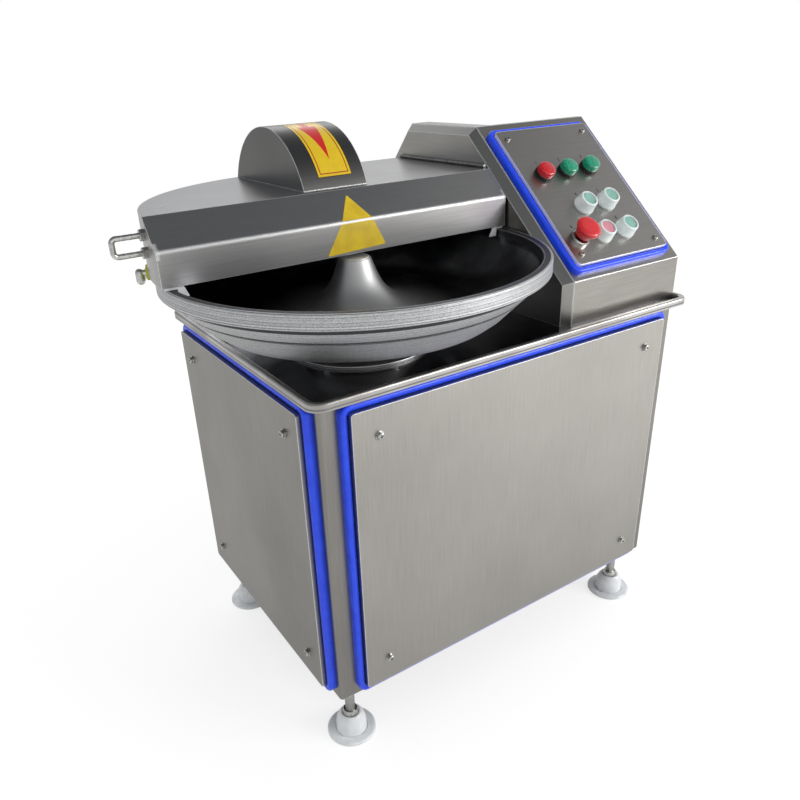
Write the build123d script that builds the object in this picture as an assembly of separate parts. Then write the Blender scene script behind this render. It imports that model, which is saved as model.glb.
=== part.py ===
from build123d import *
import math
import os

# A floor-standing bowl cutter for meat: a stainless cabinet on four levelling feet, a turning
# bowl with a ring-shaped trough, a horizontal knife shaft that crosses the trough under a hinged
# lid, and a sloped control console beside the head housing that carries the shaft.
#
# Everything is drawn in millimetres from the front left corner of the cabinet frame: X runs right
# along the front, Y runs back, Z is up from the floor. The last step moves every piece so that the
# origin is on the floor under the middle of the machine's box.

os.makedirs("parts", exist_ok=True)

# ---------------------------------------------------------------- driving sizes
# cabinet frame
FRAME_WIDTH = 680.0
FRAME_DEPTH = 477.0
FRAME_HEIGHT = 494.0
FLOOR_CLEARANCE = 110.0
FRAME_SHEET = 3.0
POST_LEG = 85.0
POST_BEND = 6.0
RAIL_HEIGHT = 45.0
RAIL_SHELF = 35.0

# cover panels and their silicone beads
SHEET = 2.0
PANEL_FACE = 18.0
PANEL_LIP = 9.0
PANEL_CORNER = 5.0
PANEL_MARGIN_FRONT = 39.0
PANEL_MARGIN_SIDE = 24.0
PANEL_MARGIN_TOP = 11.5
PANEL_MARGIN_BOTTOM = 18.0
SEAL_WIDTH = 11.0
SEAL_HEIGHT = 12.0
SEAL_GAP = 0.3
SCREW_INSET = 41.0
SCREW_SHANK = 6.0
SCREW_HEAD = 11.0
SCREW_HEAD_HEIGHT = 4.5
SCREW_WASHER = 14.0
SPACER_DIAMETER = 13.0

# tray
TRAY_OVERHANG_LEFT = 12.5
TRAY_OVERHANG_RIGHT = 29.5
TRAY_OVERHANG_FRONT = 13.5
TRAY_OVERHANG_BACK = 33.0
TRAY_FLOOR = 3.0
TRAY_RIM_HEIGHT = 12.0
TRAY_RIM_WIDTH = 10.0
TRAY_CORNER = 22.0

# levelling feet
FOOT_INSET_X = 32.0
FOOT_INSET_Y = 35.0
FOOT_SPINDLE = 16.0
FOOT_PAD_DIAMETER = 80.0
FOOT_PAD_NECK = 30.0
FOOT_PAD_HEIGHT = 38.0
FOOT_NUT = 24.0
FOOT_NUT_HEIGHT = 10.0
FOOT_PLATE = 70.0
FOOT_PLATE_THICKNESS = 6.0

# bowl
BOWL_X = 166.0
BOWL_Y = 167.0
BOWL_RADIUS = 280.0
BOWL_RIM_Z = 741.6
BOWL_BASE_Z = 651.0
BOWL_BASE_RADIUS = 192.0
RIM_BAND = 19.0
RIM_INNER_RADIUS = 267.0
TROUGH_RADIUS = 115.5
TROUGH_OFFSET = 165.0
CONE_TOP_RADIUS = 24.5
CONE_TOP_Z = 729.5
HUB_BORE = 28.0
CAP_DIAMETER = 45.0
CAP_HEIGHT = 7.0

# bowl drive
PEDESTAL_RADIUS = 84.0
PEDESTAL_FLANGE = 108.0
PEDESTAL_TOP_Z = 640.0
PEDESTAL_BOLT = 6.0
BEARING_HOUSING_RADIUS = 50.0
BEARING_HOUSING_BOTTOM_Z = 520.0
SPINDLE_DIAMETER = 40.0
BOWL_BEARING_OUTER = 80.0
BOWL_BEARING_WIDTH = 18.0
GEARBOX_WIDTH = 124.0
GEARBOX_HEIGHT = 112.0
GEARMOTOR_DIAMETER = 120.0
GEARMOTOR_LENGTH = 190.0

# knives and their shaft
KNIFE_AXIS_Y = 333.9
KNIFE_AXIS_Z = 785.5
KNIFE_RADIUS = 107.0
KNIFE_THICKNESS = 4.0
KNIFE_PITCH = 15.0
KNIFE_HUB = 66.0
KNIFE_COUNT = 3
SHAFT_DIAMETER = 30.0
SHAFT_LEFT_X = 127.0
SHAFT_RIGHT_X = 643.0
KNIFE_BEARING_OUTER = 62.0
KNIFE_BEARING_WIDTH = 16.0
KNIFE_BEARING_X = (484.0, 552.0)
KNIFE_HOUSING_RADIUS = 44.0
KNIFE_HOUSING_END_X = 566.0

# belt drive
KNIFE_PULLEY_RADIUS = 46.0
MOTOR_PULLEY_RADIUS = 56.0
PULLEY_WIDTH = 50.0
PULLEY_X = 590.0
BELT_COUNT = 3
BELT_PITCH = 15.0
BELT_WIDTH = 9.5
BELT_DEPTH = 7.0
GROOVE_TOP = 12.5
GROOVE_BOTTOM = 10.5
GROOVE_DEPTH = 8.5
MOTOR_AXIS_Z = 212.0
MOTOR_RADIUS = 86.0
MOTOR_LENGTH = 236.0
MOTOR_SHAFT = 24.0
MOTOR_SHELF = 5.0

# lid
LID_LEFT_RADIUS = 288.0
LID_CENTRE_X = 169.0
LID_CENTRE_Y = 170.0
LID_RIGHT_X = 445.4
LID_BACK_Y = 458.0
LID_FRONT_Y = 159.6
LID_FOLD_Y = 199.0
LID_BOTTOM_Z = 745.5
LID_FOLD_Z = 790.8
LID_TOP_Z = 829.3
DOME_LEFT_X = 118.8
DOME_RIGHT_X = 224.1
DOME_RADIUS = 125.6
SHAFT_SLOT = 46.0

# lid handle, hinge and rest
HANDLE_ROD = 7.5
HANDLE_SPACING = 22.5
HANDLE_REACH = 43.0
HANDLE_Y = 205.0
HANDLE_Z = 795.0
HINGE_X = 445.9
HINGE_Z = 832.5
HINGE_KNUCKLE = 6.0
HINGE_PIN = 3.0
HINGE_START_Y = 212.0
HINGE_LENGTH = 240.0
HINGE_KNUCKLES = 10
HINGE_LEAF = 1.2
HINGE_LEAF_DROP = 26.0
REST_ANGLE = 158.0
REST_DIAMETER = 22.0
REST_WIDTH = 9.0
REST_ARM = 12.0

# head housing and console
CONSOLE_LEFT_X = 462.5
CONSOLE_RIGHT_X = 705.0
CONSOLE_FRONT_Y = 17.8
CONSOLE_KNEE_Z = 677.7
CONSOLE_RIDGE_Y = 254.0
CONSOLE_TOP_Z = 888.0
CONSOLE_RIDGE_DEPTH = 10.0
HEAD_PROTRUSION = 13.4
HEAD_WIDTH = 37.5
HEAD_TOP_BACK_Y = 436.0
HEAD_BACK_Y = 499.0
HEAD_BACK_KNEE_Z = 818.0
BELT_COVER_TOP_Z = 845.0

# control panel on the slope, measured from the console's left side and up the slope
CONTROL_LEFT = 12.7
CONTROL_WIDTH = 205.0
CONTROL_START = 19.0
CONTROL_LENGTH = 270.0
CONTROL_FACE = 14.0
CONTROL_LIP = 6.0
CONTROL_SCREW_INSET = 17.5
CONTROL_CORNER = 7.0
CONTROL_SEAL_WIDTH = 9.0
CONTROL_SEAL_HEIGHT = 10.0
LAMP_ROW = 193.0
BUTTON_ROW = 121.0
STOP_ROW = 63.5
LAMP_COLUMNS = (56.0, 107.0, 158.0)
BUTTON_COLUMNS = (95.0, 146.0)
STOP_COLUMN = 44.0
LAMP_DIAMETER = 30.0
LAMP_LENS = 26.0
BOOT_DIAMETER = 35.0
BOOT_HEIGHT = 21.0
BUTTON_CAP = 23.0
BUTTON_TRAVEL = 3.0
STOP_HEAD = 40.0
STOP_TRAVEL = 4.0

# cable gland on the back panel
GLAND_BORE = 12.0
GLAND_LENGTH = 20.0
GLAND_HEX = 27.0

RUNNING = 0.03      # radial clearance of a shaft that turns in its bearing
SLIP = 0.3          # clearance between pieces that pass each other freely

# ---------------------------------------------------------------- places that follow
FRAME_TOP = FLOOR_CLEARANCE + FRAME_HEIGHT
TRAY_TOP = FRAME_TOP + TRAY_FLOOR
PANEL_HEIGHT = FRAME_HEIGHT - PANEL_MARGIN_TOP - PANEL_MARGIN_BOTTOM
PANEL_CENTRE_Z = FLOOR_CLEARANCE + PANEL_MARGIN_BOTTOM + PANEL_HEIGHT / 2
SLOPE_RUN = CONSOLE_RIDGE_Y - CONSOLE_FRONT_Y
SLOPE_RISE = CONSOLE_TOP_Z - CONSOLE_KNEE_Z
SLOPE_LENGTH = math.hypot(SLOPE_RUN, SLOPE_RISE)
SLOPE_ANGLE = math.degrees(math.atan2(SLOPE_RISE, SLOPE_RUN))
HEAD_FACE_X = CONSOLE_LEFT_X - HEAD_PROTRUSION
MOTOR_SHELF_Z = FLOOR_CLEARANCE + FRAME_SHEET
FOOT_PLACES = [
    (x, y)
    for x in (FOOT_INSET_X, FRAME_WIDTH - FOOT_INSET_X)
    for y in (FOOT_INSET_Y, FRAME_DEPTH - FOOT_INSET_Y)
]

GLAND_END_Y = FRAME_DEPTH + PANEL_FACE + GLAND_LENGTH
BOX_LEFT = LID_CENTRE_X - LID_LEFT_RADIUS - HANDLE_REACH
BOX_RIGHT = FRAME_WIDTH + TRAY_OVERHANG_RIGHT
BOX_FRONT = BOWL_Y - BOWL_RADIUS
BOX_BACK = max(FRAME_DEPTH + TRAY_OVERHANG_BACK, GLAND_END_Y)
ORIGIN = Pos(-(BOX_LEFT + BOX_RIGHT) / 2, -(BOX_FRONT + BOX_BACK) / 2, 0)

# planes that look out of each side of the cabinet, centred on its cover panel
SIDES = {
    "front": Plane((FRAME_WIDTH / 2, 0, PANEL_CENTRE_Z), x_dir=(1, 0, 0), z_dir=(0, -1, 0)),
    "back": Plane((FRAME_WIDTH / 2, FRAME_DEPTH, PANEL_CENTRE_Z), x_dir=(-1, 0, 0), z_dir=(0, 1, 0)),
    "left": Plane((0, FRAME_DEPTH / 2, PANEL_CENTRE_Z), x_dir=(0, -1, 0), z_dir=(-1, 0, 0)),
    "right": Plane((FRAME_WIDTH, FRAME_DEPTH / 2, PANEL_CENTRE_Z), x_dir=(0, 1, 0), z_dir=(1, 0, 0)),
}
SLOPE = Plane(
    (CONSOLE_LEFT_X, CONSOLE_FRONT_Y, CONSOLE_KNEE_Z),
    x_dir=(1, 0, 0),
    z_dir=(0, -math.sin(math.radians(SLOPE_ANGLE)), math.cos(math.radians(SLOPE_ANGLE))),
)


# ---------------------------------------------------------------- small helpers
def save(name, *solids):
    """Write one node: its solids moved to the machine's origin."""
    placed = [ORIGIN * solid for solid in solids]
    shape = placed[0] if len(placed) == 1 else Compound(children=placed)
    export_step(shape, f"parts/{name}.step")


def block(x0, x1, y0, y1, z0, z1):
    """A box between two corners."""
    return Pos(x0, y0, z0) * Box(x1 - x0, y1 - y0, z1 - z0, align=(Align.MIN, Align.MIN, Align.MIN))


def post(radius, z0, z1, x=0, y=0):
    """An upright cylinder."""
    return Pos(x, y, z0) * Cylinder(radius, z1 - z0, align=(Align.CENTER, Align.CENTER, Align.MIN))


def along_x(radius, x0, x1, y=0, z=0):
    """A cylinder that lies along X."""
    bar = Cylinder(radius, x1 - x0, align=(Align.CENTER, Align.CENTER, Align.MIN))
    return Pos(x0, y, z) * Rot(0, 90, 0) * bar


def along_y(radius, y0, y1, x=0, z=0):
    """A cylinder that lies along Y."""
    bar = Cylinder(radius, y1 - y0, align=(Align.CENTER, Align.CENTER, Align.MIN))
    return Pos(x, y0, z) * Rot(-90, 0, 0) * bar


def turned(points):
    """A solid of revolution about Z from (radius, height) points joined by straight lines."""
    outline = Polyline(*[(r, 0, z) for r, z in points], close=True)
    return revolve(make_face(outline), Axis.Z)


def profile_x(points, x0, x1):
    """A prism along X from (y, z) points."""
    outline = Polyline(*[(x0, y, z) for y, z in points], close=True)
    return extrude(make_face(outline), amount=x1 - x0, dir=(1, 0, 0))


def hexagon(across_flats, height):
    """A hexagonal prism standing on the XY plane."""
    return extrude(RegularPolygon(across_flats / 2, 6, major_radius=False), height)


def cut(body, *tools):
    """Take each tool away from the body in turn."""
    for tool in tools:
        body = body - tool
    return body


# ---------------------------------------------------------------- cabinet frame
def corner_post(right, back):
    """One folded angle, its outer bend rounded, at a corner of the frame."""
    outer = RectangleRounded(2 * POST_LEG, 2 * POST_LEG, POST_BEND)
    inner = Rectangle(2 * (POST_LEG - FRAME_SHEET), 2 * (POST_LEG - FRAME_SHEET))
    quarter = Pos(-POST_LEG / 2, -POST_LEG / 2) * Rectangle(POST_LEG, POST_LEG)
    angle = Pos(POST_LEG, POST_LEG) * ((outer - inner) & quarter)
    solid = Pos(0, 0, FLOOR_CLEARANCE) * extrude(angle, FRAME_HEIGHT)
    if right:
        solid = Pos(FRAME_WIDTH, 0, 0) * mirror(solid, Plane.YZ)
    if back:
        solid = Pos(0, FRAME_DEPTH, 0) * mirror(solid, Plane.XZ)
    return solid


def frame_rails():
    """Eight folded angle rails between the posts, at the top and the bottom of the frame."""
    rails = []
    for low in (True, False):
        z0 = FLOOR_CLEARANCE if low else FRAME_TOP - RAIL_HEIGHT
        shelf0 = FLOOR_CLEARANCE if low else FRAME_TOP - FRAME_SHEET
        shelf1 = shelf0 + FRAME_SHEET
        for back in (False, True):
            wall = FRAME_DEPTH - FRAME_SHEET if back else 0
            lip = FRAME_DEPTH - RAIL_SHELF if back else 0
            web = block(POST_LEG, FRAME_WIDTH - POST_LEG, wall, wall + FRAME_SHEET, z0, z0 + RAIL_HEIGHT)
            shelf = block(POST_LEG, FRAME_WIDTH - POST_LEG, lip, lip + RAIL_SHELF, shelf0, shelf1)
            rails.append(web + shelf)
        for right in (False, True):
            wall = FRAME_WIDTH - FRAME_SHEET if right else 0
            lip = FRAME_WIDTH - RAIL_SHELF if right else 0
            web = block(wall, wall + FRAME_SHEET, POST_LEG, FRAME_DEPTH - POST_LEG, z0, z0 + RAIL_HEIGHT)
            shelf = block(lip, lip + RAIL_SHELF, POST_LEG, FRAME_DEPTH - POST_LEG, shelf0, shelf1)
            rails.append(web + shelf)
    return rails


def foot_plates():
    """A threaded plate inside the bottom of each post takes the foot's spindle."""
    plates = []
    for x, y in FOOT_PLACES:
        x0 = FRAME_SHEET if x < FRAME_WIDTH / 2 else FRAME_WIDTH - FRAME_SHEET - FOOT_PLATE
        y0 = FRAME_SHEET if y < FRAME_DEPTH / 2 else FRAME_DEPTH - FRAME_SHEET - FOOT_PLATE
        z1 = FLOOR_CLEARANCE + FOOT_PLATE_THICKNESS
        plate = block(x0, x0 + FOOT_PLATE, y0, y0 + FOOT_PLATE, FLOOR_CLEARANCE, z1)
        plates.append(plate - post(FOOT_SPINDLE / 2, FLOOR_CLEARANCE, z1, x, y))
    return plates


def motor_shelf():
    """A plate across the bottom rails that carries the knife motor."""
    back = FRAME_DEPTH - FRAME_SHEET - SLIP
    front = FRAME_SHEET + SLIP
    left = POST_LEG + 150
    right = FRAME_WIDTH - POST_LEG - 5
    return block(left, right, front, back, MOTOR_SHELF_Z, MOTOR_SHELF_Z + MOTOR_SHELF)


def foot_spindle(x, y):
    """A threaded spindle with a ball end that sits in its pad and a flat-sided top."""
    top = FLOOR_CLEARANCE + FOOT_PLATE_THICKNESS + 24
    seat = FOOT_PAD_HEIGHT - 14
    rod = post(FOOT_SPINDLE / 2, seat, top, x, y)
    collar = post(FOOT_SPINDLE / 2 + 3, FOOT_PAD_HEIGHT, FOOT_PAD_HEIGHT + 6, x, y)
    flats = [
        block(x + side * 7 - 3, x + side * 7 + 3, y - 10, y + 10, FOOT_PAD_HEIGHT + 8, FOOT_PAD_HEIGHT + 18)
        for side in (-1.4, 1.4)
    ]
    return cut(rod + collar, *flats)


def foot_pad(x, y):
    """A moulded bell-shaped pad: wide flange, cone and neck, with a blind seat for the spindle."""
    flange = FOOT_PAD_DIAMETER / 2
    neck = FOOT_PAD_NECK / 2
    bell = turned([
        (0, 0), (flange - 2, 0), (flange, 2), (flange, 7), (flange - 3, 9), (neck + 13, 12),
        (neck + 9, 17), (neck + 4, 25), (neck + 1, 31), (neck, FOOT_PAD_HEIGHT), (0, FOOT_PAD_HEIGHT),
    ])
    seat = post(FOOT_SPINDLE / 2, FOOT_PAD_HEIGHT - 14, FOOT_PAD_HEIGHT + 1)
    return Pos(x, y, 0) * (bell - seat)


def foot_nut(x, y):
    """The lock nut under the frame."""
    nut = hexagon(FOOT_NUT, FOOT_NUT_HEIGHT) - post(FOOT_SPINDLE / 2, -1, FOOT_NUT_HEIGHT + 1)
    return Pos(x, y, FLOOR_CLEARANCE - FOOT_NUT_HEIGHT) * nut


def cabinet():
    corners = [corner_post(right, back) for right in (False, True) for back in (False, True)]
    save("corner_posts", *[panel_screw_holes(post_angle) for post_angle in corners])
    save("frame_rails", *frame_rails())
    save("frame_plates", *foot_plates(), motor_shelf())
    save("foot_spindles", *[foot_spindle(x, y) for x, y in FOOT_PLACES])
    save("foot_pads", *[foot_pad(x, y) for x, y in FOOT_PLACES])
    save("foot_lock_nuts", *[foot_nut(x, y) for x, y in FOOT_PLACES])


# ---------------------------------------------------------------- cover panels
def pan(width, height, face, lip, corner):
    """A folded pan: a flat face with a short return lip all round, open towards the frame."""
    shell = extrude(RectangleRounded(width, height, corner), lip)
    pocket = extrude(RectangleRounded(width - 2 * SHEET, height - 2 * SHEET, corner - SHEET), lip - SHEET)
    return Pos(0, 0, face - lip) * (shell - pocket)


def bead(width, height, corner):
    """A half-round silicone bead that runs round a panel of this size."""
    inner_w = width + 2 * SEAL_GAP
    inner_h = height + 2 * SEAL_GAP
    inside = RectangleRounded(inner_w, inner_h, corner + SEAL_GAP)
    outside = RectangleRounded(inner_w + 2 * SEAL_WIDTH, inner_h + 2 * SEAL_WIDTH, corner + SEAL_WIDTH)
    ring = extrude(outside - inside, SEAL_HEIGHT)
    top = ring.faces().sort_by(Axis.Z)[-1]
    return fillet(top.edges(), SEAL_WIDTH / 2 - 0.6)


def screw_spots(width, height, inset):
    """The four screw places of a panel."""
    return [(i * (width / 2 - inset), j * (height / 2 - inset)) for i in (-1, 1) for j in (-1, 1)]


def dome_screw(face, reach):
    """A washer and a low domed head above the panel face, with a shank that reaches inwards."""
    washer = post(SCREW_WASHER / 2, face, face + 1.2)
    head = post(SCREW_HEAD / 2, face + 1.2, face + 1.2 + SCREW_HEAD_HEIGHT)
    head = fillet(head.edges().sort_by(Axis.Z)[-1], 2.2)
    socket = Pos(0, 0, face + 1.2 + SCREW_HEAD_HEIGHT - 2.4) * hexagon(4, 3)
    shank = post(SCREW_SHANK / 2, -reach, face + 0.6)
    return cut(washer + head + shank, socket)


def panel_width(side):
    if side in ("front", "back"):
        return FRAME_WIDTH - 2 * PANEL_MARGIN_FRONT
    return FRAME_DEPTH - 2 * PANEL_MARGIN_SIDE


def gland_hole():
    """The hole in the back panel for the cable gland."""
    return along_y(GLAND_BORE / 2 + 4, FRAME_DEPTH, GLAND_END_Y, *GLAND_PLACE)


GLAND_PLACE = (FRAME_WIDTH - PANEL_MARGIN_FRONT - 110, FLOOR_CLEARANCE + PANEL_MARGIN_BOTTOM + 60)


def panels():
    screws, spacers, beads = [], [], []
    for side, plane in SIDES.items():
        here = plane.location
        width = panel_width(side)
        plate = pan(width, PANEL_HEIGHT, PANEL_FACE, PANEL_LIP, PANEL_CORNER)
        for u, v in screw_spots(width, PANEL_HEIGHT, SCREW_INSET):
            plate = plate - post(SCREW_SHANK / 2 + 0.2, 0, PANEL_FACE + 1, u, v)
            screws.append(here * Pos(u, v, 0) * dome_screw(PANEL_FACE, FRAME_SHEET + 6))
            tube = post(SPACER_DIAMETER / 2, 0, PANEL_FACE - SHEET) - post(SCREW_SHANK / 2 + 0.2, -1, PANEL_FACE)
            spacers.append(here * Pos(u, v, 0) * tube)
        plate = here * plate
        if side == "back":
            plate = plate - gland_hole()
        save(f"{side}_panel", plate)
        beads.append(here * bead(width, PANEL_HEIGHT, PANEL_CORNER))
    save("panel_screws", *screws)
    save("panel_spacers", *spacers, *control_spacers())
    save("panel_seals", *beads, control_seal())


def panel_screw_holes(solid):
    """Clear the screws' shanks through the posts."""
    for side, plane in SIDES.items():
        for u, v in screw_spots(panel_width(side), PANEL_HEIGHT, SCREW_INSET):
            solid = solid - plane.location * post(SCREW_SHANK / 2 + 0.2, -FRAME_SHEET - 1, 1, u, v)
    return solid


def cable_gland():
    """A hexagonal gland body and dome nut with a bore for the supply cable."""
    x, z = GLAND_PLACE
    face = FRAME_DEPTH + PANEL_FACE
    body = Pos(x, face + 6, z) * Rot(90, 0, 0) * hexagon(GLAND_HEX, 6)
    nut = along_y(GLAND_HEX / 2 - 1.5, face + 6, GLAND_END_Y, x, z)
    nut = chamfer(nut.edges().sort_by(Axis.Y)[-1], 3)
    stem = along_y(GLAND_BORE / 2 + 3.8, face - 12, face + 1, x, z)
    return body + nut + stem - along_y(GLAND_BORE / 2, face - 13, GLAND_END_Y + 1, x, z)


# ---------------------------------------------------------------- tray
BELT_SLOT = (PULLEY_X - 4, PULLEY_X + PULLEY_WIDTH + 3)


def tray():
    """The top plate: a flat floor with a raised, rounded rim bar all round."""
    width, depth, place = tray_size()
    outline = RectangleRounded(width, depth, TRAY_CORNER)
    inside = RectangleRounded(width - 2 * TRAY_RIM_WIDTH, depth - 2 * TRAY_RIM_WIDTH, TRAY_CORNER - TRAY_RIM_WIDTH)
    rim = extrude(outline - inside, TRAY_RIM_HEIGHT)
    rim = fillet(rim.faces().sort_by(Axis.Z)[-1].edges(), 3)
    plate = rim + extrude(inside, TRAY_FLOOR)
    plate = place * plate
    spindle_hole = post(BEARING_HOUSING_RADIUS + SLIP, FRAME_TOP - 1, TRAY_TOP + 1, BOWL_X, BOWL_Y)
    half = MOTOR_PULLEY_RADIUS + 10
    slot = block(*BELT_SLOT, KNIFE_AXIS_Y - half, KNIFE_AXIS_Y + half, FRAME_TOP - 1, TRAY_TOP + 1)
    bolts = [Pos(BOWL_X, BOWL_Y, 0) * spot for spot in pedestal_bolt_places()]
    holes = [spot * post(PEDESTAL_BOLT / 2 + 0.2, FRAME_TOP - 1, TRAY_TOP + 1) for spot in bolts]
    return cut(plate, spindle_hole, slot, *holes)


def rim_relief():
    """The space the tray's rim takes from the boxes that stand over it."""
    width, depth, place = tray_size()
    edge = 2 * (TRAY_RIM_WIDTH + SLIP)
    inside = RectangleRounded(width - edge, depth - edge, TRAY_CORNER - edge / 2)
    space = extrude(Rectangle(width + 20, depth + 20) - inside, TRAY_RIM_HEIGHT + 100)
    return place * Pos(0, 0, -100) * space


def tray_size():
    """The tray's width, depth and the place of its middle."""
    width = FRAME_WIDTH + TRAY_OVERHANG_LEFT + TRAY_OVERHANG_RIGHT
    depth = FRAME_DEPTH + TRAY_OVERHANG_FRONT + TRAY_OVERHANG_BACK
    centre_x = (FRAME_WIDTH + TRAY_OVERHANG_RIGHT - TRAY_OVERHANG_LEFT) / 2
    centre_y = (FRAME_DEPTH + TRAY_OVERHANG_BACK - TRAY_OVERHANG_FRONT) / 2
    return width, depth, Pos(centre_x, centre_y, FRAME_TOP)


# ---------------------------------------------------------------- bowl and its drive
def bowl():
    """The turned bowl: banded rim, stepped underside, ring trough and a central cone."""
    half_chord = math.sqrt(TROUGH_RADIUS**2 - (KNIFE_AXIS_Z - CONE_TOP_Z) ** 2)
    floor_z = KNIFE_AXIS_Z - TROUGH_RADIUS
    lip = (TROUGH_OFFSET + half_chord, CONE_TOP_Z)
    low = math.radians(-45)
    middle = (TROUGH_OFFSET + TROUGH_RADIUS * math.cos(low), KNIFE_AXIS_Z + TROUGH_RADIUS * math.sin(low))
    band_z = BOWL_RIM_Z - RIM_BAND
    under = [
        (HUB_BORE / 2 + 0.1, BOWL_BASE_Z), (70, BOWL_BASE_Z), (74, BOWL_BASE_Z + 10), (144, BOWL_BASE_Z + 10),
        (150, BOWL_BASE_Z), (BOWL_BASE_RADIUS, BOWL_BASE_Z), (BOWL_BASE_RADIUS + 14, BOWL_BASE_Z + 5.5),
        (222, 668.5), (266, 713.5), (266, 715.5), (268.5, 715.5), (269.5, 718), (273.5, 718),
        (274.5, band_z - 1), (BOWL_RADIUS - 1, band_z - 1), (BOWL_RADIUS, band_z),
        (BOWL_RADIUS, BOWL_RIM_Z - 1), (BOWL_RADIUS - 1, BOWL_RIM_Z), (RIM_INNER_RADIUS + 1, BOWL_RIM_Z),
        (RIM_INNER_RADIUS, BOWL_RIM_Z - 1), lip,
    ]
    trough_start = (TROUGH_OFFSET, floor_z)
    cone_foot = (100, floor_z)
    places = [Vector(r, 0, z) for r, z in under]
    edges = [Line(a, b) for a, b in zip(places[:-1], places[1:])]
    edges.append(ThreePointArc(places[-1], (middle[0], 0, middle[1]), (trough_start[0], 0, trough_start[1])))
    edges.append(Line((trough_start[0], 0, trough_start[1]), (cone_foot[0], 0, cone_foot[1])))
    flank = [(cone_foot[0], cone_foot[1]), (62, 679), (38.7, 695.7), (28, 712), (CONE_TOP_RADIUS, CONE_TOP_Z)]
    edges.append(Spline(*[(r, 0, z) for r, z in flank], tangents=[(-1, 0, 0), (0, 0, 1)]))
    edges.append(Line((CONE_TOP_RADIUS, 0, CONE_TOP_Z), (HUB_BORE / 2 + 0.1, 0, CONE_TOP_Z)))
    edges.append(Line((HUB_BORE / 2 + 0.1, 0, CONE_TOP_Z), places[0]))
    return Pos(BOWL_X, BOWL_Y, 0) * revolve(make_face(Wire(edges)), Axis.Z)


def bowl_cap():
    """A domed nut that clamps the bowl on its spindle, knurled round its side."""
    cap = post(CAP_DIAMETER / 2, CONE_TOP_Z, CONE_TOP_Z + CAP_HEIGHT)
    cap = fillet(cap.edges().sort_by(Axis.Z)[-1], 3)
    for spot in PolarLocations(CAP_DIAMETER / 2 + 1.2, 12):
        cap = cap - spot * post(2.6, CONE_TOP_Z - 1, CONE_TOP_Z + CAP_HEIGHT + 1)
    bore = post(HUB_BORE / 2, CONE_TOP_Z - 1, CONE_TOP_Z + 3)
    return Pos(BOWL_X, BOWL_Y, 0) * (cap - bore)


def bowl_spindle():
    """The upright spindle: a flange under the bowl, a pilot through its hub and a long journal."""
    journal = SPINDLE_DIAMETER / 2
    shaft = turned([
        (0, 432), (journal - 1, 432), (journal, 433), (journal, BOWL_BASE_Z - 10), (55, BOWL_BASE_Z - 10),
        (55, BOWL_BASE_Z), (HUB_BORE / 2, BOWL_BASE_Z), (HUB_BORE / 2, CONE_TOP_Z + 2.8), (0, CONE_TOP_Z + 2.8),
    ])
    return Pos(BOWL_X, BOWL_Y, 0) * shaft


UPPER_BEARING_Z = TRAY_TOP + 5
LOWER_BEARING_Z = BEARING_HOUSING_BOTTOM_Z + 6


def bowl_pedestal():
    """The bearing housing: a flared foot on the tray and a long cartridge through it."""
    seat = BOWL_BEARING_OUTER / 2
    bore = seat - 6
    top0 = UPPER_BEARING_Z
    top1 = UPPER_BEARING_Z + BOWL_BEARING_WIDTH
    low1 = LOWER_BEARING_Z + BOWL_BEARING_WIDTH
    body = turned([
        (seat, BEARING_HOUSING_BOTTOM_Z), (BEARING_HOUSING_RADIUS, BEARING_HOUSING_BOTTOM_Z),
        (BEARING_HOUSING_RADIUS, TRAY_TOP), (PEDESTAL_FLANGE, TRAY_TOP), (PEDESTAL_FLANGE, TRAY_TOP + 4),
        (PEDESTAL_FLANGE - 8, TRAY_TOP + 6), (PEDESTAL_RADIUS + 4, TRAY_TOP + 11), (PEDESTAL_RADIUS, TRAY_TOP + 18),
        (PEDESTAL_RADIUS, PEDESTAL_TOP_Z - 2), (PEDESTAL_RADIUS - 2, PEDESTAL_TOP_Z), (24, PEDESTAL_TOP_Z),
        (24, top1), (seat, top1), (seat, top0), (bore, top0), (bore, low1), (seat, low1),
    ])
    for spot in pedestal_bolt_places():
        body = body - spot * post(PEDESTAL_BOLT / 2 + 0.2, TRAY_TOP - 1, TRAY_TOP + 7)
        body = body - spot * post(PEDESTAL_BOLT + 0.3, TRAY_TOP + 6, TRAY_TOP + 14)
    return Pos(BOWL_X, BOWL_Y, 0) * body


def pedestal_bolt_places():
    return PolarLocations(PEDESTAL_FLANGE - 11, 6, start_angle=30)


def pedestal_bolts():
    """Socket screws that hold the pedestal's foot on the tray."""
    shank = PEDESTAL_BOLT / 2
    seat = TRAY_TOP + 6
    head = post(PEDESTAL_BOLT - 0.6, seat, seat + 5) - post(2.2, seat + 2, seat + 6)
    bolt = head + post(shank, FRAME_TOP - 4, seat + 0.5)
    return [Pos(BOWL_X, BOWL_Y, 0) * spot * bolt for spot in pedestal_bolt_places()]


def bearing(inner, outer, width):
    """A deep-groove bearing: an outer ring, an inner ring and a shielded web between them."""
    ring = Cylinder(outer, width) - Cylinder(inner, width + 2)
    step = (outer - inner) * 0.28
    groove = Cylinder(outer - step, 2) - Cylinder(inner + step, 4)
    return ring - Pos(0, 0, width / 2 - 0.5) * groove - Pos(0, 0, 0.5 - width / 2) * groove


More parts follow.
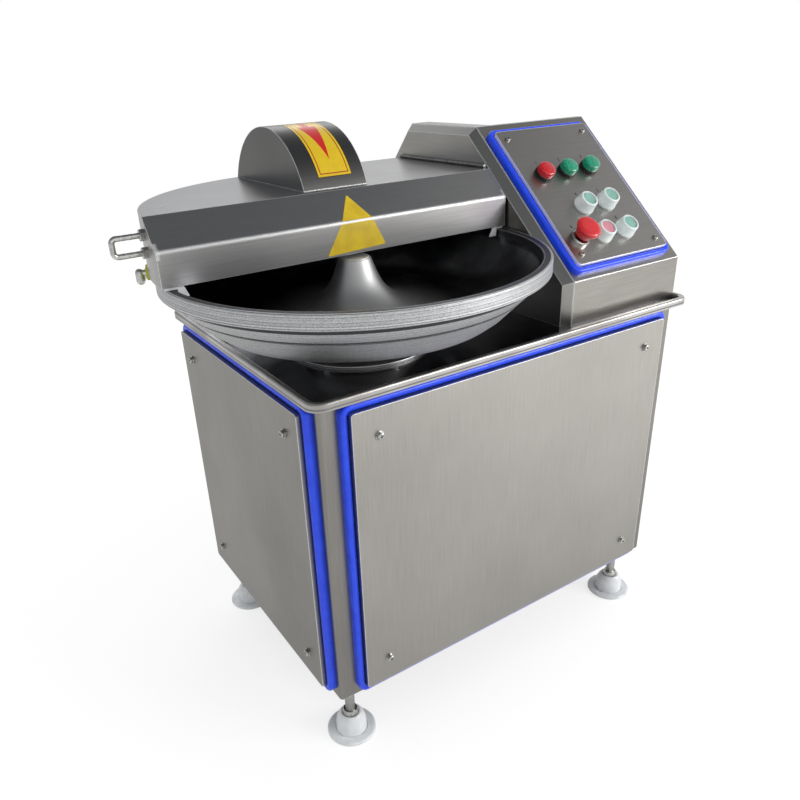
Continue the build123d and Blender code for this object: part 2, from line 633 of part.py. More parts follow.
def bowl_drive():
    save("bowl_pedestal", bowl_pedestal())
    save("pedestal_bolts", *pedestal_bolts())
    ring = bearing(SPINDLE_DIAMETER / 2 + RUNNING, BOWL_BEARING_OUTER / 2, BOWL_BEARING_WIDTH)
    middles = (LOWER_BEARING_Z + BOWL_BEARING_WIDTH / 2, UPPER_BEARING_Z + BOWL_BEARING_WIDTH / 2)
    save("bowl_bearings", *[Pos(BOWL_X, BOWL_Y, z) * ring for z in middles])
    save("bowl_spindle", bowl_spindle())
    save("bowl", bowl())
    save("bowl_cap_nut", bowl_cap())
    half = GEARBOX_WIDTH / 2
    top = BEARING_HOUSING_BOTTOM_Z
    case = block(BOWL_X - half, BOWL_X + half, BOWL_Y - half, BOWL_Y + half, top - GEARBOX_HEIGHT, top)
    case = fillet(case.edges().filter_by(Axis.Z), 12)
    case = case - post(SPINDLE_DIAMETER / 2 + RUNNING, 425, top + 1, BOWL_X, BOWL_Y)
    save("bowl_gearbox", case)
    middle_z = top - GEARBOX_HEIGHT / 2
    start = BOWL_X + half
    end = start + GEARMOTOR_LENGTH
    motor = along_x(GEARMOTOR_DIAMETER / 2 - 6, start, end, BOWL_Y, middle_z)
    motor = motor + along_x(GEARMOTOR_DIAMETER / 2, start, start + 12, BOWL_Y, middle_z)
    motor = motor + along_x(GEARMOTOR_DIAMETER / 2, end - 40, end, BOWL_Y, middle_z)
    box = block(start + 50, start + 130, BOWL_Y - 40, BOWL_Y + 40, middle_z, middle_z + 74)
    save("bowl_motor", motor + box)


# ---------------------------------------------------------------- knives, shaft and belt drive
KNIFE_STACK_X = BOWL_X - KNIFE_PITCH - KNIFE_THICKNESS / 2
SHOULDER_X = KNIFE_STACK_X + (KNIFE_COUNT - 1) * KNIFE_PITCH + KNIFE_THICKNESS + 6
KNIFE_AXIS = Pos(0, KNIFE_AXIS_Y, KNIFE_AXIS_Z)


def knife():
    """One sickle-shaped knife: bevelled outer edge, hollow back, round hub with the shaft's bore."""
    reach = KNIFE_RADIUS / 2 + 16.5
    middle = KNIFE_RADIUS - reach
    disc = Pos(0, middle) * extrude(Circle(reach), KNIFE_THICKNESS, taper=30)
    back = Pos(-45, middle + 25, -1) * extrude(Circle(reach - 8), KNIFE_THICKNESS + 2)
    hub = extrude(Circle(KNIFE_HUB / 2), KNIFE_THICKNESS)
    blade = cut(disc, back) + hub
    return blade - Pos(0, 0, -1) * extrude(Circle(SHAFT_DIAMETER / 2 + 0.05), KNIFE_THICKNESS + 2)


def knife_set():
    blades, rings = [], []
    lay = Rot(0, 90, 0)
    for i in range(KNIFE_COUNT):
        x = KNIFE_STACK_X + i * KNIFE_PITCH
        blades.append(KNIFE_AXIS * Pos(x, 0, 0) * Rot(120 * i, 0, 0) * lay * knife())
    gaps = [(KNIFE_STACK_X - 7, KNIFE_STACK_X), (SHOULDER_X - 6, SHOULDER_X)]
    for i in range(KNIFE_COUNT - 1):
        start = KNIFE_STACK_X + i * KNIFE_PITCH + KNIFE_THICKNESS
        gaps.append((start, start + KNIFE_PITCH - KNIFE_THICKNESS))
    for x0, x1 in gaps:
        ring = along_x(KNIFE_HUB / 2 - 4, x0, x1) - along_x(SHAFT_DIAMETER / 2 + 0.05, x0 - 1, x1 + 1)
        rings.append(KNIFE_AXIS * ring)
    return blades, rings


def knife_lock_nut():
    nut = Pos(KNIFE_STACK_X - 19, 0, 0) * Rot(0, 90, 0) * hexagon(46, 12)
    bore = along_x(SHAFT_DIAMETER / 2 + 0.05, KNIFE_STACK_X - 20, KNIFE_STACK_X)
    return KNIFE_AXIS * (nut - bore)


def knife_shaft():
    shaft = along_x(SHAFT_DIAMETER / 2, SHAFT_LEFT_X, SHAFT_RIGHT_X)
    shaft = chamfer(shaft.edges().sort_by(Axis.X)[0], 1.5)
    shoulder = along_x(KNIFE_HUB / 2 - 6, SHOULDER_X, SHOULDER_X + 14)
    return KNIFE_AXIS * (shaft + shoulder)


HOUSING_BORE = KNIFE_BEARING_OUTER / 2
HOUSING_NOSE_X = HEAD_FACE_X + SHEET + 0.3


def knife_housing():
    """The shaft's bearing housing: a flange inside the console wall, a nose to the left, a tube."""
    wall = CONSOLE_LEFT_X + SHEET
    first = KNIFE_BEARING_X[0] - KNIFE_BEARING_WIDTH / 2
    last = KNIFE_BEARING_X[1] + KNIFE_BEARING_WIDTH / 2
    body = along_x(KNIFE_HOUSING_RADIUS, wall, KNIFE_HOUSING_END_X)
    body = body + along_x(62, wall, wall + 8)
    body = body + along_x(34, HOUSING_NOSE_X, wall)
    body = cut(
        body,
        along_x(SHAFT_DIAMETER / 2 + 1, HOUSING_NOSE_X - 1, KNIFE_HOUSING_END_X + 1),
        along_x(HOUSING_BORE, first, first + KNIFE_BEARING_WIDTH),
        along_x(HOUSING_BORE, last - KNIFE_BEARING_WIDTH, KNIFE_HOUSING_END_X + 1),
        along_x(HOUSING_BORE - 5, first, last),
    )
    return KNIFE_AXIS * body


def pulley(radius, bore):
    """A grooved pulley between x = 0 and its width, with a dished web on its outer side."""
    half_top, half_low = GROOVE_TOP / 2, GROOVE_BOTTOM / 2
    points = [(bore, 0), (radius, 0)]
    first = (PULLEY_WIDTH - (BELT_COUNT - 1) * BELT_PITCH) / 2
    for i in range(BELT_COUNT):
        x = first + i * BELT_PITCH
        low = radius - GROOVE_DEPTH
        points += [(radius, x - half_top), (low, x - half_low), (low, x + half_low), (radius, x + half_top)]
    points += [(radius, PULLEY_WIDTH), (radius - 16, PULLEY_WIDTH), (radius - 18, PULLEY_WIDTH - 6)]
    points += [(bore + 8, PULLEY_WIDTH - 6), (bore + 6, PULLEY_WIDTH), (bore, PULLEY_WIDTH)]
    return Rot(0, 90, 0) * turned(points)


def belt_loop(inset):
    """The outline of a belt round both pulleys, set in from their outer radii."""
    upper = Pos(0, KNIFE_AXIS_Z) * Circle(KNIFE_PULLEY_RADIUS - inset)
    lower = Pos(0, MOTOR_AXIS_Z) * Circle(MOTOR_PULLEY_RADIUS - inset)
    return make_hull(upper.edges() + lower.edges())


def belts():
    ring = belt_loop(-0.5) - belt_loop(BELT_DEPTH - 0.5)
    first = PULLEY_X + (PULLEY_WIDTH - (BELT_COUNT - 1) * BELT_PITCH) / 2
    loops = []
    for i in range(BELT_COUNT):
        x = first + i * BELT_PITCH - BELT_WIDTH / 2
        stand = Plane((x, KNIFE_AXIS_Y, 0), x_dir=(0, 1, 0), z_dir=(1, 0, 0))
        loops.append(stand.location * extrude(ring, BELT_WIDTH))
    return loops


def knife_motor():
    """A foot-mounted motor: finned body, end shields, terminal box and two feet on the shelf."""
    shelf_top = MOTOR_SHELF_Z + MOTOR_SHELF
    end = PULLEY_X - 12
    start = end - MOTOR_LENGTH
    body = along_x(MOTOR_RADIUS - 6, start + 40, end - 14)
    fins = []
    for i in range(24):
        fin = block(start + 44, end - 20, -1.5, 1.5, MOTOR_RADIUS - 8, MOTOR_RADIUS)
        fins.append(Rot(i * 15 + 7.5, 0, 0) * fin)
    body = body + fins + along_x(MOTOR_RADIUS - 3, end - 14, end) + along_x(MOTOR_RADIUS, start, start + 44)
    drop = shelf_top - MOTOR_AXIS_Z
    for x in (start + 64, end - 62):
        body = body + block(x, x + 34, -70, 70, drop, drop + 10) + block(x, x + 34, -48, 48, drop, -50)
    body = body + block(start + 70, start + 150, -44, 44, MOTOR_RADIUS - 12, MOTOR_RADIUS + 30)
    bore = along_x(MOTOR_SHAFT / 2 + RUNNING, end - 40, end + 1)
    return Pos(0, KNIFE_AXIS_Y, MOTOR_AXIS_Z) * (body - bore)


def knife_drive():
    blades, rings = knife_set()
    save("knife_blades", *blades)
    save("knife_spacers", *rings)
    save("knife_lock_nut", knife_lock_nut())
    save("knife_shaft", knife_shaft())
    save("knife_bearing_housing", knife_housing())
    ring = Rot(0, 90, 0) * bearing(SHAFT_DIAMETER / 2 + RUNNING, HOUSING_BORE, KNIFE_BEARING_WIDTH)
    save("knife_bearings", *[KNIFE_AXIS * Pos(x, 0, 0) * ring for x in KNIFE_BEARING_X])
    save("knife_pulley", KNIFE_AXIS * Pos(PULLEY_X, 0, 0) * pulley(KNIFE_PULLEY_RADIUS, SHAFT_DIAMETER / 2 + 0.05))
    save("drive_belts", *belts())
    save("knife_motor", knife_motor())
    axis = Pos(0, KNIFE_AXIS_Y, MOTOR_AXIS_Z)
    save("motor_shaft", axis * along_x(MOTOR_SHAFT / 2, PULLEY_X - 50, PULLEY_X + PULLEY_WIDTH + 2))
    save("motor_pulley", axis * Pos(PULLEY_X, 0, 0) * pulley(MOTOR_PULLEY_RADIUS, MOTOR_SHAFT / 2 + 0.05))


# ---------------------------------------------------------------- lid
def lid_plan(inset):
    """The lid's outline from above: straight front, right and back, and a quarter circle."""
    radius = LID_LEFT_RADIUS - inset
    front = LID_FRONT_Y + inset
    back = LID_CENTRE_Y + radius
    right = LID_RIGHT_X - inset
    left = LID_CENTRE_X - math.sqrt(radius**2 - (LID_CENTRE_Y - front) ** 2)
    corner = math.radians(135)
    middle = (LID_CENTRE_X + radius * math.cos(corner), LID_CENTRE_Y + radius * math.sin(corner))
    edges = [
        Line((left, front), (right, front)),
        Line((right, front), (right, back)),
        Line((right, back), (LID_CENTRE_X, back)),
        ThreePointArc((LID_CENTRE_X, back), middle, (left, front)),
    ]
    return make_face(Wire(edges))


def lid_block(inset, bottom):
    """The lid's body with its sloped front edge, all faces moved in by the inset."""
    top = LID_TOP_Z - inset
    body = Pos(0, 0, bottom) * extrude(lid_plan(inset), top - bottom)
    run = LID_FOLD_Y - LID_FRONT_Y
    rise = LID_TOP_Z - LID_FOLD_Z
    length = math.hypot(run, rise)
    y = LID_FRONT_Y + inset * rise / length
    z = LID_FOLD_Z - inset * run / length
    low = (y - run, z - rise)
    high = (y + 2 * run, z + 2 * rise)
    wedge = profile_x([low, high, (low[0], high[1])], -300, 600)
    return body - wedge


def lid_shell():
    """The lid's sheet body: open below, with the shaft's slot, the dome's window and a notch."""
    shell = lid_block(0, LID_BOTTOM_Z) - lid_block(SHEET, LID_BOTTOM_Z - 1)
    half = math.sqrt((DOME_RADIUS - SHEET) ** 2 - (LID_TOP_Z - KNIFE_AXIS_Z) ** 2)
    y0 = KNIFE_AXIS_Y - half
    y1 = KNIFE_AXIS_Y + half
    window = block(DOME_LEFT_X + SHEET, DOME_RIGHT_X - SHEET, y0, y1, LID_TOP_Z - 5, LID_TOP_Z + 1)
    reach = SHAFT_SLOT / 2
    x0 = LID_RIGHT_X - 5
    x1 = LID_RIGHT_X + 1
    round_top = along_x(reach, x0, x1, KNIFE_AXIS_Y, KNIFE_AXIS_Z)
    slot = block(x0, x1, KNIFE_AXIS_Y - reach, KNIFE_AXIS_Y + reach, LID_BOTTOM_Z - 1, KNIFE_AXIS_Z)
    notch = rest_place(0) * Rot(0, 90, 0) * Cylinder(REST_DIAMETER / 2 + 0.4, 30)
    shell = cut(shell, window, round_top, slot, notch)
    for z in HANDLE_LEGS:
        shell = shell - along_x(HANDLE_ROD / 2 + 0.1, LID_LEFT_X - 10, LID_LEFT_X + 20, HANDLE_Y, z)
    return shell


LID_LEFT_X = LID_CENTRE_X - math.sqrt(LID_LEFT_RADIUS**2 - (HANDLE_Y - LID_CENTRE_Y) ** 2)
HANDLE_LEGS = (HANDLE_Z - HANDLE_SPACING / 2, HANDLE_Z + HANDLE_SPACING / 2)


def lid_dome():
    """The half-round hood over the knives, closed at both ends."""
    outer = along_x(DOME_RADIUS, DOME_LEFT_X, DOME_RIGHT_X)
    inner = along_x(DOME_RADIUS - SHEET, DOME_LEFT_X + SHEET, DOME_RIGHT_X - SHEET)
    hood = KNIFE_AXIS * (outer - inner)
    return hood & block(0, 400, 100, 600, LID_TOP_Z, 1000)


def lid_handle():
    """A bent round rod: two legs through the lid's wall and an upright grip."""
    tip = BOX_LEFT + HANDLE_ROD / 2
    inner = LID_LEFT_X + 9
    bend = 6.0
    low, high = HANDLE_LEGS
    path = Wire([
        Line((inner, HANDLE_Y, low), (tip + bend, HANDLE_Y, low)),
        ThreePointArc(
            (tip + bend, HANDLE_Y, low),
            (tip + bend * (1 - math.sin(math.pi / 4)), HANDLE_Y, low + bend * (1 - math.sin(math.pi / 4))),
            (tip, HANDLE_Y, low + bend),
        ),
        Line((tip, HANDLE_Y, low + bend), (tip, HANDLE_Y, high - bend)),
        ThreePointArc(
            (tip, HANDLE_Y, high - bend),
            (tip + bend * (1 - math.sin(math.pi / 4)), HANDLE_Y, high - bend * (1 - math.sin(math.pi / 4))),
            (tip + bend, HANDLE_Y, high),
        ),
        Line((tip + bend, HANDLE_Y, high), (inner, HANDLE_Y, high)),
    ])
    start = Plane((inner, HANDLE_Y, low), z_dir=(-1, 0, 0))
    return sweep(start * Circle(HANDLE_ROD / 2), path)


def handle_nuts():
    """Hexagon nuts on both sides of the lid's wall, seated on its curve."""
    nuts = []
    wall = post(LID_LEFT_RADIUS, 700, 900, LID_CENTRE_X, LID_CENTRE_Y)
    inside = post(LID_LEFT_RADIUS - SHEET, 700, 900, LID_CENTRE_X, LID_CENTRE_Y)
    for z in HANDLE_LEGS:
        bore = along_x(HANDLE_ROD / 2, LID_LEFT_X - 20, LID_LEFT_X + 20, HANDLE_Y, z)
        nut = Pos(LID_LEFT_X - 6, HANDLE_Y, z) * Rot(0, 90, 0) * hexagon(13, 8)
        nuts.append(cut(nut, wall, bore))
        nut = Pos(LID_LEFT_X, HANDLE_Y, z) * Rot(0, 90, 0) * hexagon(13, 8)
        nuts.append((nut & inside) - bore)
    return nuts


def hinge_side(moving):
    """One half of the piano hinge: a thin leaf and every other knuckle."""
    pitch = HINGE_LENGTH / HINGE_KNUCKLES
    radius = HINGE_KNUCKLE / 2
    end = HINGE_START_Y + HINGE_LENGTH
    if moving:
        x0 = LID_RIGHT_X
        top = HINGE_Z - 0.5
    else:
        x0 = HEAD_FACE_X - HINGE_LEAF
        top = HINGE_Z + 0.5
    leaf = block(x0, x0 + HINGE_LEAF, HINGE_START_Y, end, HINGE_Z - HINGE_LEAF_DROP, top)
    if not moving:
        bare = along_y(radius + 0.25, HINGE_START_Y, end, HINGE_X, HINGE_Z)
        leaf = leaf - bare
    for i in range(HINGE_KNUCKLES):
        y0 = HINGE_START_Y + i * pitch + 0.2
        y1 = HINGE_START_Y + (i + 1) * pitch - 0.2
        if (i % 2 == 0) == moving:
            leaf = leaf + along_y(radius, y0, y1, HINGE_X, HINGE_Z)
            if not moving:
                leaf = leaf + block(HINGE_X + 1.5, HEAD_FACE_X, y0, y1, HINGE_Z - 2.5, HINGE_Z + 0.5)
        else:
            leaf = leaf - along_y(radius + 0.25, y0 - 0.4, y1 + 0.4, HINGE_X, HINGE_Z)
    leaf = leaf - along_y(HINGE_PIN / 2 + RUNNING, HINGE_START_Y - 1, end + 1, HINGE_X, HINGE_Z)
    if moving:
        slot = SHAFT_SLOT / 2
        leaf = leaf - along_x(slot, x0 - 1, x0 + 3, KNIFE_AXIS_Y, KNIFE_AXIS_Z)
    return leaf


def lid_skirts():
    """Two small plates inside the front wall close the gap to the bowl's rim at its ends."""
    y0 = LID_FRONT_Y + SHEET
    z0 = BOWL_RIM_Z + 1.4
    left = LID_CENTRE_X - LID_LEFT_RADIUS + 5
    right = LID_RIGHT_X - SHEET - 1
    return [
        block(left, left + 26, y0, y0 + 2, z0, z0 + 14),
        block(right - 26, right, y0, y0 + 2, z0, z0 + 14),
    ]


# ---------------------------------------------------------------- lid rest
REST_RADIUS = 300.0
REST_Z = BOWL_RIM_Z + 0.9
REST_FOOT_ANGLE = 112.0


def rest_place(radial):
    """A frame on the lid's wall at the rest: X points outwards from the bowl's axis."""
    turn = math.radians(REST_ANGLE)
    r = LID_LEFT_RADIUS - 2 + radial
    x = BOWL_X + r * math.cos(turn)
    y = BOWL_Y + r * math.sin(turn)
    return Pos(x, y, REST_Z) * Rot(0, 0, REST_ANGLE)


def lid_rest():
    """A bent bar that stands on the tray, runs round behind the bowl and carries a soft disc."""
    rod = REST_ARM / 2
    bar_z = BOWL_RIM_Z - 10
    section = Pos(REST_RADIUS, 0, bar_z) * Rot(90, 0, 0) * Circle(rod)
    bow = revolve(section, Axis.Z, REST_ANGLE - REST_FOOT_ANGLE)
    start = Pos(REST_RADIUS, 0, 0)
    end = Rot(0, 0, REST_ANGLE - REST_FOOT_ANGLE) * start
    bow = bow + start * post(rod, TRAY_TOP, bar_z) + start * Pos(0, 0, bar_z) * Sphere(rod)
    bow = bow + start * post(16, TRAY_TOP, TRAY_TOP + 5)
    bow = bow + end * post(rod, bar_z, REST_Z) + end * Pos(0, 0, bar_z) * Sphere(rod) + end * Pos(0, 0, REST_Z) * Sphere(rod)
    arm = Pos(BOWL_X, BOWL_Y, 0) * Rot(0, 0, REST_FOOT_ANGLE) * bow
    reach = REST_RADIUS - (LID_LEFT_RADIUS - 2)
    return arm + rest_place(0) * Rot(0, 90, 0) * Pos(0, 0, (reach - REST_WIDTH / 2) / 2) * Cylinder(4, reach + REST_WIDTH / 2)


def lid_buffer():
    """The soft disc the lid's edge comes down on."""
    disc = Cylinder(REST_DIAMETER / 2, REST_WIDTH)
    disc = fillet(disc.edges(), 1.2) - Cylinder(4, REST_WIDTH + 2)
    return rest_place(0) * Rot(0, 90, 0) * disc


def lid():
    save("lid_shell", lid_shell())
    save("lid_dome", lid_dome())
    save("lid_handle", lid_handle())
    save("lid_handle_nuts", *handle_nuts())
    save("lid_skirts", *lid_skirts())
    save("lid_hinge_leaf", hinge_side(True))
    save("fixed_hinge_leaf", hinge_side(False))
    end = HINGE_START_Y + HINGE_LENGTH
    save("hinge_pin", along_y(HINGE_PIN / 2, HINGE_START_Y, end, HINGE_X, HINGE_Z))
    save("lid_rest_arm", lid_rest())
    save("lid_buffer", lid_buffer())


# ---------------------------------------------------------------- head housing and console
HEAD_OUTLINE = [
    (CONSOLE_FRONT_Y, TRAY_TOP), (CONSOLE_FRONT_Y, CONSOLE_KNEE_Z), (CONSOLE_RIDGE_Y, CONSOLE_TOP_Z),
    (HEAD_TOP_BACK_Y, CONSOLE_TOP_Z), (HEAD_BACK_Y, HEAD_BACK_KNEE_Z), (HEAD_BACK_Y, TRAY_TOP),
]
BOX_OUTLINE = [
    (CONSOLE_FRONT_Y, TRAY_TOP), (CONSOLE_FRONT_Y, CONSOLE_KNEE_Z), (CONSOLE_RIDGE_Y, CONSOLE_TOP_Z),
    (CONSOLE_RIDGE_Y + CONSOLE_RIDGE_DEPTH, CONSOLE_TOP_Z), (CONSOLE_RIDGE_Y + CONSOLE_RIDGE_DEPTH, TRAY_TOP),
]


def inset_outline(points, inset):
    """Move every side of a clockwise convex outline inwards, its foot line downwards instead."""
    points = [(y, z - 60 if z == TRAY_TOP else z) for y, z in points]
    moved = []
    count = len(points)
    for i in range(count):
        before, here, after = points[i - 1], points[i], points[(i + 1) % count]
        lines = []
        for a, b in ((before, here), (here, after)):
            length = math.hypot(b[0] - a[0], b[1] - a[1])
            ny, nz = (b[1] - a[1]) / length, -(b[0] - a[0]) / length
            lines.append((ny, nz, ny * a[0] + nz * a[1] + inset))
        (a1, b1, c1), (a2, b2, c2) = lines
        det = a1 * b2 - a2 * b1
        moved.append(((c1 * b2 - c2 * b1) / det, (a1 * c2 - a2 * c1) / det))
    return moved


def sheet_box(points, x0, x1):
    """A sheet-metal box along X with this outline, open at its foot."""
    inner = profile_x(inset_outline(points, SHEET), x0 + SHEET, x1 - SHEET)
    return profile_x(points, x0, x1) - inner


def frustum(points, x0, inset0, x1, inset1):
    """A tapered block between two insets of the same outline, cut off at the tray."""
    faces = []
    for x, inset in ((x0, inset0), (x1, inset1)):
        outline = Polyline(*[(x, y, z) for y, z in inset_outline(points, inset)], close=True)
        faces.append(make_face(outline))
    solid = loft(faces, ruled=True)
    return solid - block(300, 800, -200, 700, 400, TRAY_TOP)


def head_housing():
    """A bevelled hood on the console's left side that brings the shaft to the lid."""
    outer = frustum(HEAD_OUTLINE, CONSOLE_LEFT_X, 0.3, HEAD_FACE_X, 12)
    slant = 12 / HEAD_PROTRUSION
    inner = frustum(HEAD_OUTLINE, CONSOLE_LEFT_X + 0.1, 3.0, HEAD_FACE_X + SHEET, 14.7 - SHEET * slant)
    hood = outer - inner
    return hood - KNIFE_AXIS * along_x(20, HEAD_FACE_X - 1, HEAD_FACE_X + SHEET + 1)


def slope_window():
    """The opening in the console's slope behind the control panel."""
    _, _, stop = device_spots()
    opening = control_middle() * Box(CONTROL_WIDTH - 50, CONTROL_LENGTH - 56, 14)
    return opening + SLOPE.location * post(12, -7, 7, *stop)


def console_box():
    """The sloped console and the pedestal behind the head housing, folded from one sheet."""
    wide = profile_x(BOX_OUTLINE, CONSOLE_LEFT_X, CONSOLE_RIGHT_X)
    narrow_x = CONSOLE_LEFT_X + HEAD_WIDTH
    narrow = profile_x(HEAD_OUTLINE, CONSOLE_LEFT_X, narrow_x)
    wide_inside = profile_x(inset_outline(BOX_OUTLINE, SHEET), CONSOLE_LEFT_X + SHEET, CONSOLE_RIGHT_X - SHEET)
    narrow_inside = profile_x(inset_outline(HEAD_OUTLINE, SHEET), CONSOLE_LEFT_X + SHEET, narrow_x - SHEET)
    shell = wide + narrow - wide_inside - narrow_inside
    shell = shell - KNIFE_AXIS * along_x(34 + SLIP, CONSOLE_LEFT_X - 1, CONSOLE_LEFT_X + SHEET + 1)
    shell = shell - KNIFE_AXIS * along_x(KNIFE_HOUSING_RADIUS + SLIP, narrow_x - SHEET - 1, narrow_x + 1)
    shell = cut(shell, slope_window(), rim_relief())
    for u, s in control_screw_spots():
        shell = shell - SLOPE.location * post(2.2, -SHEET - 1, 1, u, s)
    return shell


def belt_cover():
    """The box behind the console that covers the knife pulley and its belts."""
    x0 = CONSOLE_LEFT_X + HEAD_WIDTH + SLIP
    y0 = CONSOLE_RIDGE_Y + CONSOLE_RIDGE_DEPTH + SLIP
    outer = block(x0, CONSOLE_RIGHT_X, y0, HEAD_BACK_Y, TRAY_TOP, BELT_COVER_TOP_Z)
    outer = fillet(outer.edges().filter_by(Axis.X).group_by(Axis.Z)[-1].sort_by(Axis.Y)[-1], 8)
    inner = block(x0 + SHEET, CONSOLE_RIGHT_X - SHEET, y0 + SHEET, HEAD_BACK_Y - SHEET, 500, BELT_COVER_TOP_Z - SHEET)
    inner = fillet(inner.edges().filter_by(Axis.X).group_by(Axis.Z)[-1].sort_by(Axis.Y)[-1], 6)
    shell = outer - inner - KNIFE_AXIS * along_x(KNIFE_HOUSING_RADIUS + SLIP, x0 - 1, x0 + SHEET + 1)
    return shell - rim_relief()


# ---------------------------------------------------------------- control panel
def control_screw_spots():
    inset = CONTROL_SCREW_INSET
    return [
        (u, s)
        for u in (CONTROL_LEFT + inset, CONTROL_LEFT + CONTROL_WIDTH - inset)
        for s in (CONTROL_START + inset, CONTROL_START + CONTROL_LENGTH - inset)
    ]


def control_middle():
    return SLOPE.location * Pos(CONTROL_LEFT + CONTROL_WIDTH / 2, CONTROL_START + CONTROL_LENGTH / 2, 0)


def control_seal():
    """The silicone bead round the control panel."""
    width = CONTROL_WIDTH + 2 * SEAL_GAP
    length = CONTROL_LENGTH + 2 * SEAL_GAP
    side = CONTROL_SEAL_WIDTH
    corner = CONTROL_CORNER + SEAL_GAP
    ring = RectangleRounded(width + 2 * side, length + 2 * side, corner + side)
    ring = extrude(ring - RectangleRounded(width, length, corner), CONTROL_SEAL_HEIGHT)
    ring = fillet(ring.faces().sort_by(Axis.Z)[-1].edges(), side / 2 - 0.6)
    return control_middle() * ring


def control_spacers():
    """Tubes that hold the control panel off the console's slope."""
    tube = post(6, 0, CONTROL_FACE - SHEET) - post(2.2, -1, CONTROL_FACE)
    return [SLOPE.location * Pos(u, s, 0) * tube for u, s in control_screw_spots()]


def device_spots():
    lamps = [(u, LAMP_ROW) for u in LAMP_COLUMNS]
    buttons = [(u, BUTTON_ROW) for u in BUTTON_COLUMNS] + [(u, STOP_ROW) for u in BUTTON_COLUMNS]
    return lamps, buttons, (STOP_COLUMN, STOP_ROW)


def lamp_bezel():
    """A black base ring with its threaded tail and ring nut behind the panel."""
    ring = post(LAMP_DIAMETER / 2, CONTROL_FACE, CONTROL_FACE + 9)
    ring = chamfer(ring.edges().sort_by(Axis.Z)[-1], 1.2)
    tail = post(11, CONTROL_FACE - 42, CONTROL_FACE + 1)
    nut = post(14, CONTROL_FACE - SHEET - 5, CONTROL_FACE - SHEET)
    return ring + tail + nut - post(LAMP_LENS / 2 - 1.8, CONTROL_FACE + 3, CONTROL_FACE + 10)


def lamp_lens():
    """A ribbed, domed lens that stands in its bezel."""
    top = CONTROL_FACE + 24
    lens = post(LAMP_LENS / 2 - 2, CONTROL_FACE + 3, top) + post(LAMP_LENS / 2, CONTROL_FACE + 9, top)
    lens = fillet(lens.edges().sort_by(Axis.Z)[-1], 4)
    return lens


def button_boot():
    """A soft white boot over a push button: tapered ring, open middle, tail behind the panel."""
    base = BOOT_DIAMETER / 2
    top = CONTROL_FACE + BOOT_HEIGHT
    ring = turned([
        (BUTTON_CAP / 2 + SLIP, CONTROL_FACE + 5), (BUTTON_CAP / 2 + SLIP, top - 1), (BUTTON_CAP / 2 + 1.5, top),
        (base - 3.5, top), (base - 2, top - 1.5), (base - 1, CONTROL_FACE + 4), (base, CONTROL_FACE + 3),
        (base, CONTROL_FACE), (11, CONTROL_FACE), (11, CONTROL_FACE - 34), (5.3, CONTROL_FACE - 34),
        (5.3, CONTROL_FACE + 5),
    ])
    nut = post(14, CONTROL_FACE - SHEET - 5, CONTROL_FACE - SHEET) - post(10.5, CONTROL_FACE - 8, CONTROL_FACE)
    return ring + nut


def button_cap():
    """A flat cap and its stem, held up by its spring above the boot's floor."""
    top = CONTROL_FACE + BOOT_HEIGHT - 4
    floor = CONTROL_FACE + 5 + BUTTON_TRAVEL + 0.3
    cap = post(BUTTON_CAP / 2, floor, top)
    cap = fillet(cap.edges().sort_by(Axis.Z)[-1], 1)
    return cap + post(5, CONTROL_FACE - 30, floor + 1)


STOP_COLLAR_TOP = CONTROL_FACE + 7


def stop_collar():
    """The silver collar of the stop button with its tail."""
    ring = post(16, CONTROL_FACE, STOP_COLLAR_TOP)
    ring = chamfer(ring.edges().sort_by(Axis.Z)[-1], 1.5)
    tail = post(11, CONTROL_FACE - 40, CONTROL_FACE + 1)
    nut = post(14, CONTROL_FACE - SHEET - 5, CONTROL_FACE - SHEET)
    return ring + tail + nut - post(7 + RUNNING, CONTROL_FACE - 41, STOP_COLLAR_TOP + 1)


def stop_stem():
    """The stem that slides in the collar and carries the mushroom on a thinner journal."""
    shoulder = STOP_COLLAR_TOP + STOP_TRAVEL + 0.5
    return post(7, CONTROL_FACE - 34, shoulder) + post(4, shoulder - 1, shoulder + 14)


def stop_mushroom():
    """The red palm head on a conical neck; it twists on the stem's journal to release."""
    low = STOP_COLLAR_TOP + STOP_TRAVEL + 0.5
    head = STOP_HEAD / 2
    crown = turned([
        (0, low), (11.5, low), (12.5, low + 2), (14.5, low + 7), (head - 1.5, low + 9), (head, low + 11),
        (head, low + 15.5), (head - 1.2, low + 18), (head - 4, low + 19.6), (head - 9, low + 20.4), (0, low + 20.6),
    ])
    bore = post(4 + RUNNING, low - 1, low + 14.3)
    return crown - bore


